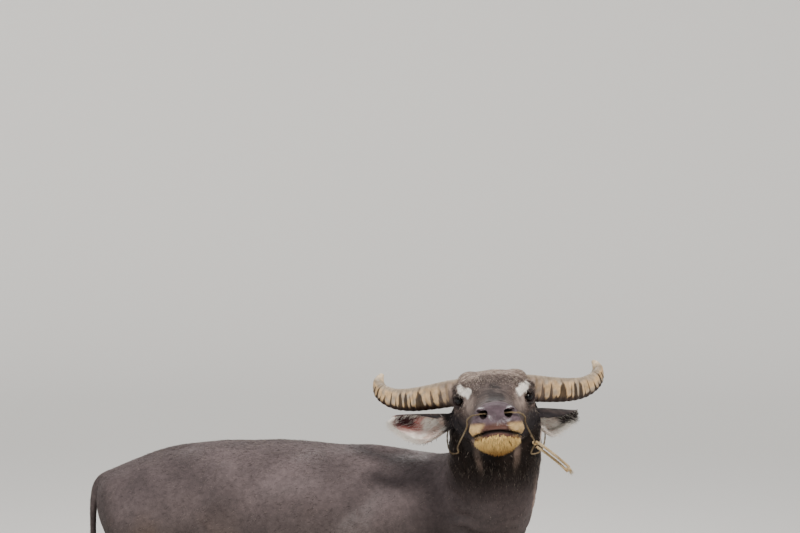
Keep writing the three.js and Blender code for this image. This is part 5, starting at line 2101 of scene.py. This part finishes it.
@dataclass
class Rope:
    """The nose rope, its knots and the two short ends."""

    head: LocalFrame
    thin: float = 0.0034
    thick: float = 0.0052
    fibre: Vec = (0.50, 0.33, 0.15)
    pale_fibre: Vec = (0.70, 0.54, 0.32)
    soiled: Vec = (0.20, 0.12, 0.06)
    knot_at: Vec = (0.026, 0.131, -0.156)
    knot_size: float = 0.011
    end_knot_at: Vec = (0.022, 0.237, -0.254)
    route: Sequence[Vec] = (
        (0.026, 0.131, -0.156), (0.235, 0.097, -0.060), (0.285, 0.094, -0.030),
        (0.316, 0.078, -0.012), (0.330, 0.060, -0.008), (0.325, 0.050, -0.007),
        (0.305, 0.030, -0.010), (0.294, 0.0, -0.012), (0.305, -0.030, -0.010),
        (0.325, -0.050, -0.007), (0.330, -0.060, -0.008), (0.316, -0.078, -0.012),
        (0.285, -0.094, -0.030), (0.235, -0.097, -0.060), (0.026, -0.132, -0.150),
        (-0.096, -0.134, -0.191), (-0.147, -0.161, -0.197), (-0.190, -0.171, -0.164),
        (-0.232, -0.167, -0.132), (-0.258, -0.150, -0.103), (-0.275, -0.122, -0.064),
        (-0.289, -0.084, -0.042), (-0.299, -0.039, -0.035), (-0.301, 0.014, -0.035),
        (-0.294, 0.066, -0.042), (-0.280, 0.108, -0.055), (-0.268, 0.143, -0.097),
        (-0.248, 0.166, -0.130), (-0.215, 0.174, -0.155), (-0.173, 0.168, -0.187),
        (-0.129, 0.149, -0.211), (-0.084, 0.117, -0.208), (0.018, 0.131, -0.158),
    )
    end_steps: int = 8

    def build(self, material: bpy.types.Material) -> None:
        """Lays the rope and ties its knots."""
        path = self._curve(self.head.outside(self.route), 420)
        rope = self._strands("nose_rope_finish", path, self.thin, 2, 0.011)
        self._colour(rope, 0.36)
        dress(rope, material)
        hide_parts("nose_rope")
        knot = self._knot("rope_knot_finish", self.knot_at, self.knot_size, material)
        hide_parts("rope_knot")
        size = 0.95 * self.knot_size
        end = self._knot("rope_end_knot_finish", self.end_knot_at, size, material, frayed=True)
        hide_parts("rope_end_knot")
        for label, way in (("upper", 1), ("lower", -1)):
            line = self._end_line(way)
            middle = self._curve(line, 90)
            piece = self._strands(f"rope_end_{label}_finish", middle, self.thick, 3, 0.030)
            self._colour(piece)
            dress(piece, material)
            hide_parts(f"rope_end_{label}")

    def _end_line(self, way: int) -> np.ndarray:
        """The middle of one short end, in the row frame.

        Args:
            way: 1 for the upper end, -1 for the lower one.

        Returns:
            The line's points.
        """
        t = np.linspace(0, 1, self.end_steps + 1)
        start = np.array(self.knot_at) + [0, 0.005, -0.006]
        swing = np.sin(np.pi * t)
        x = start[0] - 0.004 * t + way * 0.009 * swing
        y = start[1] + 0.101 * t + way * 0.003
        z = start[2] - 0.076 * t - 0.016 * t**2 + way * 0.007
        return self.head.outside(np.stack([x, y, z], axis=1))

    @staticmethod
    def _curve(points: np.ndarray, count: int) -> np.ndarray:
        """An even smooth line through points.

        Args:
            points: Points to pass through.
            count: How many points to give back.

        Returns:
            The line's points.
        """
        fine = np.linspace(0, len(points) - 1, 40 * len(points))
        line = np.stack([smooth_read(points[:, k], fine) for k in range(3)], axis=1)
        run = np.concatenate([[0], np.cumsum(np.linalg.norm(np.diff(line, axis=0), axis=1))])
        even = np.linspace(0, run[-1], count)
        return np.stack([np.interp(even, run, line[:, k]) for k in range(3)], axis=1)

    @staticmethod
    def _strands(
        name: str, path: np.ndarray, radius: float, strands: int, lay: float, sides: int = 7
    ) -> bpy.types.Object:
        """Twisted strands along a line.

        Args:
            name: The object's name.
            path: The line, evenly spaced.
            radius: The rope's radius.
            strands: How many strands are twisted together.
            lay: The length of one full twist.
            sides: Sides of a strand.

        Returns:
            One mesh with all the strands.
        """
        along = unit(np.gradient(path, axis=0))
        side = np.empty_like(path)
        side[0] = unit(np.cross(along[0], [0.3, 0.2, 0.9]))
        for i in range(1, len(path)):
            side[i] = unit(side[i - 1] - along[i] * (side[i - 1] @ along[i]))
        other = np.cross(along, side)
        run = np.concatenate([[0], np.cumsum(np.linalg.norm(np.diff(path, axis=0), axis=1))])
        strand = radius * {2: 0.56, 3: 0.52}[strands]
        offset = radius - strand
        pieces = []
        for k in range(strands):
            turn = 2 * np.pi * (run / lay + k / strands)
            middle = path + offset * (np.cos(turn)[:, None] * side + np.sin(turn)[:, None] * other)
            rings = rings_round(middle, strand * side, strand * other, sides)
            pieces.append(tube_object(f"{name}_{k}", rings, sides))
        rope = join(pieces, name)
        round_off(rope)
        return rope

    def _colour(self, rope: bpy.types.Object, shade: float = 0.85) -> None:
        """Straw-coloured fibre with soiled stretches.

        Args:
            rope: The rope's mesh.
            shade: How light it is.
        """
        points = points_of(rope)
        colours = layered(
            plain(self.fibre, points),
            (self.pale_fibre, 0.5 + 0.6 * ripple(points, 0.008, 91)),
            (self.soiled, 0.55 * step(0.1, 0.9, ripple(points, 0.05, 92))),
        )
        paint(rope, np.clip(colours * shade, 0, 1))

    def _knot(
        self, name: str, at: Vec, size: float, material: bpy.types.Material, frayed: bool = False
    ) -> bpy.types.Object:
        """An overhand knot: strands wound over one another, with loose fibre if it is frayed.

        Args:
            name: The mesh's name.
            at: Its middle in the head's frame.
            size: Its radius.
            material: The rope's finish.
            frayed: Whether loose fibres stand out of it.

        Returns:
            The knot.
        """
        t = np.linspace(0, 2 * np.pi, 119, endpoint=False)
        wind = np.stack(
            [np.sin(t) + 2 * np.sin(2 * t), np.cos(t) - 2 * np.cos(2 * t), -1.4 * np.sin(3 * t)], axis=1
        )
        middle = np.asarray(at) + size * 0.235 * wind[:, [1, 0, 2]] * [0.9, 1.0, 0.95]
        closed = self.head.outside(np.concatenate([middle, middle[:1]]))
        knot = self._strands(name, self._curve(closed, 130), size * 0.40, 2, 0.016, 8)
        self._colour(knot)
        dress(knot, material)
        if frayed:
            self._fray(material)
        return knot

    def _fray(self, material: bpy.types.Material) -> None:
        """Loose fibres past the last knot."""
        rng = np.random.default_rng(93)
        count = 70
        start = self.head.outside(np.asarray([self.end_knot_at]) + [[0, 0.004, -0.004]])
        roots = start + 0.003 * rng.normal(size=(count, 3))
        ways = unit(self.head.way_out([[0.05, 0.55, -0.75]]) + 0.35 * rng.normal(size=(count, 3)))
        bends = self.head.way_out([[0, 0, -0.2]]) * np.ones((count, 1))
        lengths = rng.uniform(0.010, 0.019, count)
        tint = np.asarray(self.pale_fibre) * rng.uniform(0.6, 1.1, (count, 1))
        tufts = Tufts("rope_fray", material, slot="rope")
        widths = np.full(count, 0.0008)
        tufts.grow(roots, ways, bends, unit(rng.normal(size=(count, 3))), lengths, widths, tint)


# The setting


@dataclass
class Studio:
    """A pale floor that curves up all round, soft lights and the camera."""

    head: LocalFrame
    light_away: float = 5.5
    floor_radius: float = 12.0
    sweep_rings: int = 18
    sweep_step: float = 1.0
    sweep_ease: float = 22.0
    floor_colour: Vec = (0.66, 0.65, 0.63)
    sky_colour: Vec = (0.92, 0.94, 0.97)
    sky_strength: float = 0.3
    camera_away: float = 6.0
    camera_azimuth: float = 8.0
    camera_pitch: float = 2.73
    camera_above_eyes: float = 0.737
    eyes_right_of_axis: float = 0.3195
    lens: float = 79.65
    sensor_width: float = 36.0
    far_clip: float = 200.0

    def build(self) -> None:
        """Sets everything up."""
        self._floor()
        self._lights()
        self._camera()

    def _floor(self) -> None:
        """A plain pale floor, flat round the animal and swept up far away."""
        deselect_all()
        bpy.ops.mesh.primitive_circle_add(vertices=96, radius=self.floor_radius, fill_type="NGON")
        floor = bpy.context.object
        floor.name = "floor"
        radius = self.floor_radius
        with editing(floor):
            for ring in range(1, self.sweep_rings + 1):
                lift = (2 * ring - 1) * self.sweep_step**2 / self.sweep_ease
                wider = (radius + self.sweep_step) / radius
                bpy.ops.mesh.select_mode(type="EDGE")
                if ring == 1:
                    bpy.ops.mesh.region_to_loop()
                bpy.ops.mesh.extrude_edges_move(TRANSFORM_OT_translate={"value": (0, 0, lift)})
                bpy.ops.transform.resize(value=(wider, wider, 1))
                radius += self.sweep_step
            bpy.ops.mesh.select_all(action="SELECT")
            bpy.ops.mesh.normals_make_consistent(inside=False)
        round_off(floor, 40)
        material = bpy.data.materials.new("floor")
        material.use_nodes = True
        tree = material.node_tree
        look = {"Base Color": (*self.floor_colour, 1), "Roughness": 0.9}
        set_inputs(tree, tree.nodes["Principled BSDF"], look)
        floor.data.materials.append(material)

    def _lights(self) -> None:
        """A large key from the camera's left, a fill, a rim and a pale sky."""
        for name, kind, way, power, size, colour in (
            ("key", "SUN", (0.45, -0.80, 0.85), 3.6, math.radians(14), (1.0, 0.97, 0.93)),
            ("fill", "AREA", (-0.80, -0.90, 0.45), 90, 3.5, (0.93, 0.96, 1.0)),
            ("rim", "AREA", (-0.10, 0.95, 0.90), 150, 3.0, (1.0, 0.98, 0.95)),
        ):
            data = bpy.data.lights.new(name, kind)
            data.energy = power
            data.color = colour
            if kind == "SUN":
                data.angle = size
            else:
                data.shape = "DISK"
                data.size = size
            light = bpy.data.objects.new(name, data)
            away = np.array(way) / np.linalg.norm(way)
            light.location = self.light_away * away + [0, 0, 1]
            tilt = math.acos(away[2])
            light.rotation_euler = Euler((tilt, 0, math.atan2(away[0], -away[1])))
            bpy.context.scene.collection.objects.link(light)
        world = bpy.data.worlds.new("sky")
        world.use_nodes = True
        sky = {"Color": (*self.sky_colour, 1), "Strength": self.sky_strength}
        set_inputs(world.node_tree, world.node_tree.nodes["Background"], sky)
        bpy.context.scene.world = world

    def _camera(self) -> None:
        """The photograph's viewpoint: level, a little above the head, with the body to the left."""
        azimuth = math.radians(self.camera_azimuth)
        ahead = np.array([-math.sin(azimuth), math.cos(azimuth), 0])
        right = np.array([math.cos(azimuth), math.sin(azimuth), 0])
        place = self.head.origin - self.camera_away * ahead - self.eyes_right_of_axis * right
        place[2] = self.head.origin[2] + self.camera_above_eyes
        data = bpy.data.cameras.new("camera")
        data.lens = self.lens
        data.sensor_width = self.sensor_width
        data.clip_end = self.far_clip
        camera = bpy.data.objects.new("camera", data)
        camera.location = place
        camera.rotation_euler = Euler((math.radians(90 - self.camera_pitch), 0, azimuth))
        bpy.context.scene.collection.objects.link(camera)
        bpy.context.scene.camera = camera


def make_ears(head: LocalFrame) -> list[Ear]:
    """Both ears: the right one opens to the camera, the left one is turned down and back.

    Args:
        head: The head's frame.

    Returns:
        The left ear and the right one.
    """
    left = {"root": (-0.118, 0.116, -0.074), "tip": (-0.282, 0.284, -0.092), "open_to": (0.62, 0.35, -0.7)}
    right = {
        "root": (-0.112, -0.122, -0.074),
        "tip": (-0.15, -0.378, -0.066),
        "open_to": (0.95, -0.12, -0.28),
    }
    return [
        Ear(Side.LEFT, head, **left, sag=-0.016, cup_shade=1.0),
        Ear(Side.RIGHT, head, **right, sag=0.020, cup_shade=0.0),
    ]


def main() -> None:
    """Builds the animal piece by piece."""
    logging.basicConfig(level=logging.INFO, format="%(message)s")
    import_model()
    head, body = find_frames()
    marks = Markings(head, body)
    ears = make_ears(head)
    skin = Skin(head, body, marks, ears).build()
    hair = HAIR_FINISH.make()
    Coat(head, body, marks, ears, SkinSampler.of(skin), hair).build()
    horn = HORN_FINISH.make()
    eye_material = EYE_FINISH.make()
    for side, stretch in ((Side.LEFT, 0.97), (Side.RIGHT, 1.036)):
        Horn(side, head, stretch).build(horn)
        Eye(side, head).build(eye_material, hair)
    Feet().build(HOOF_FINISH.make())
    Rope(head).build(ROPE_FINISH.make())
    Studio(head).build()
    deselect_all()


if __name__ == "__main__":
    main()
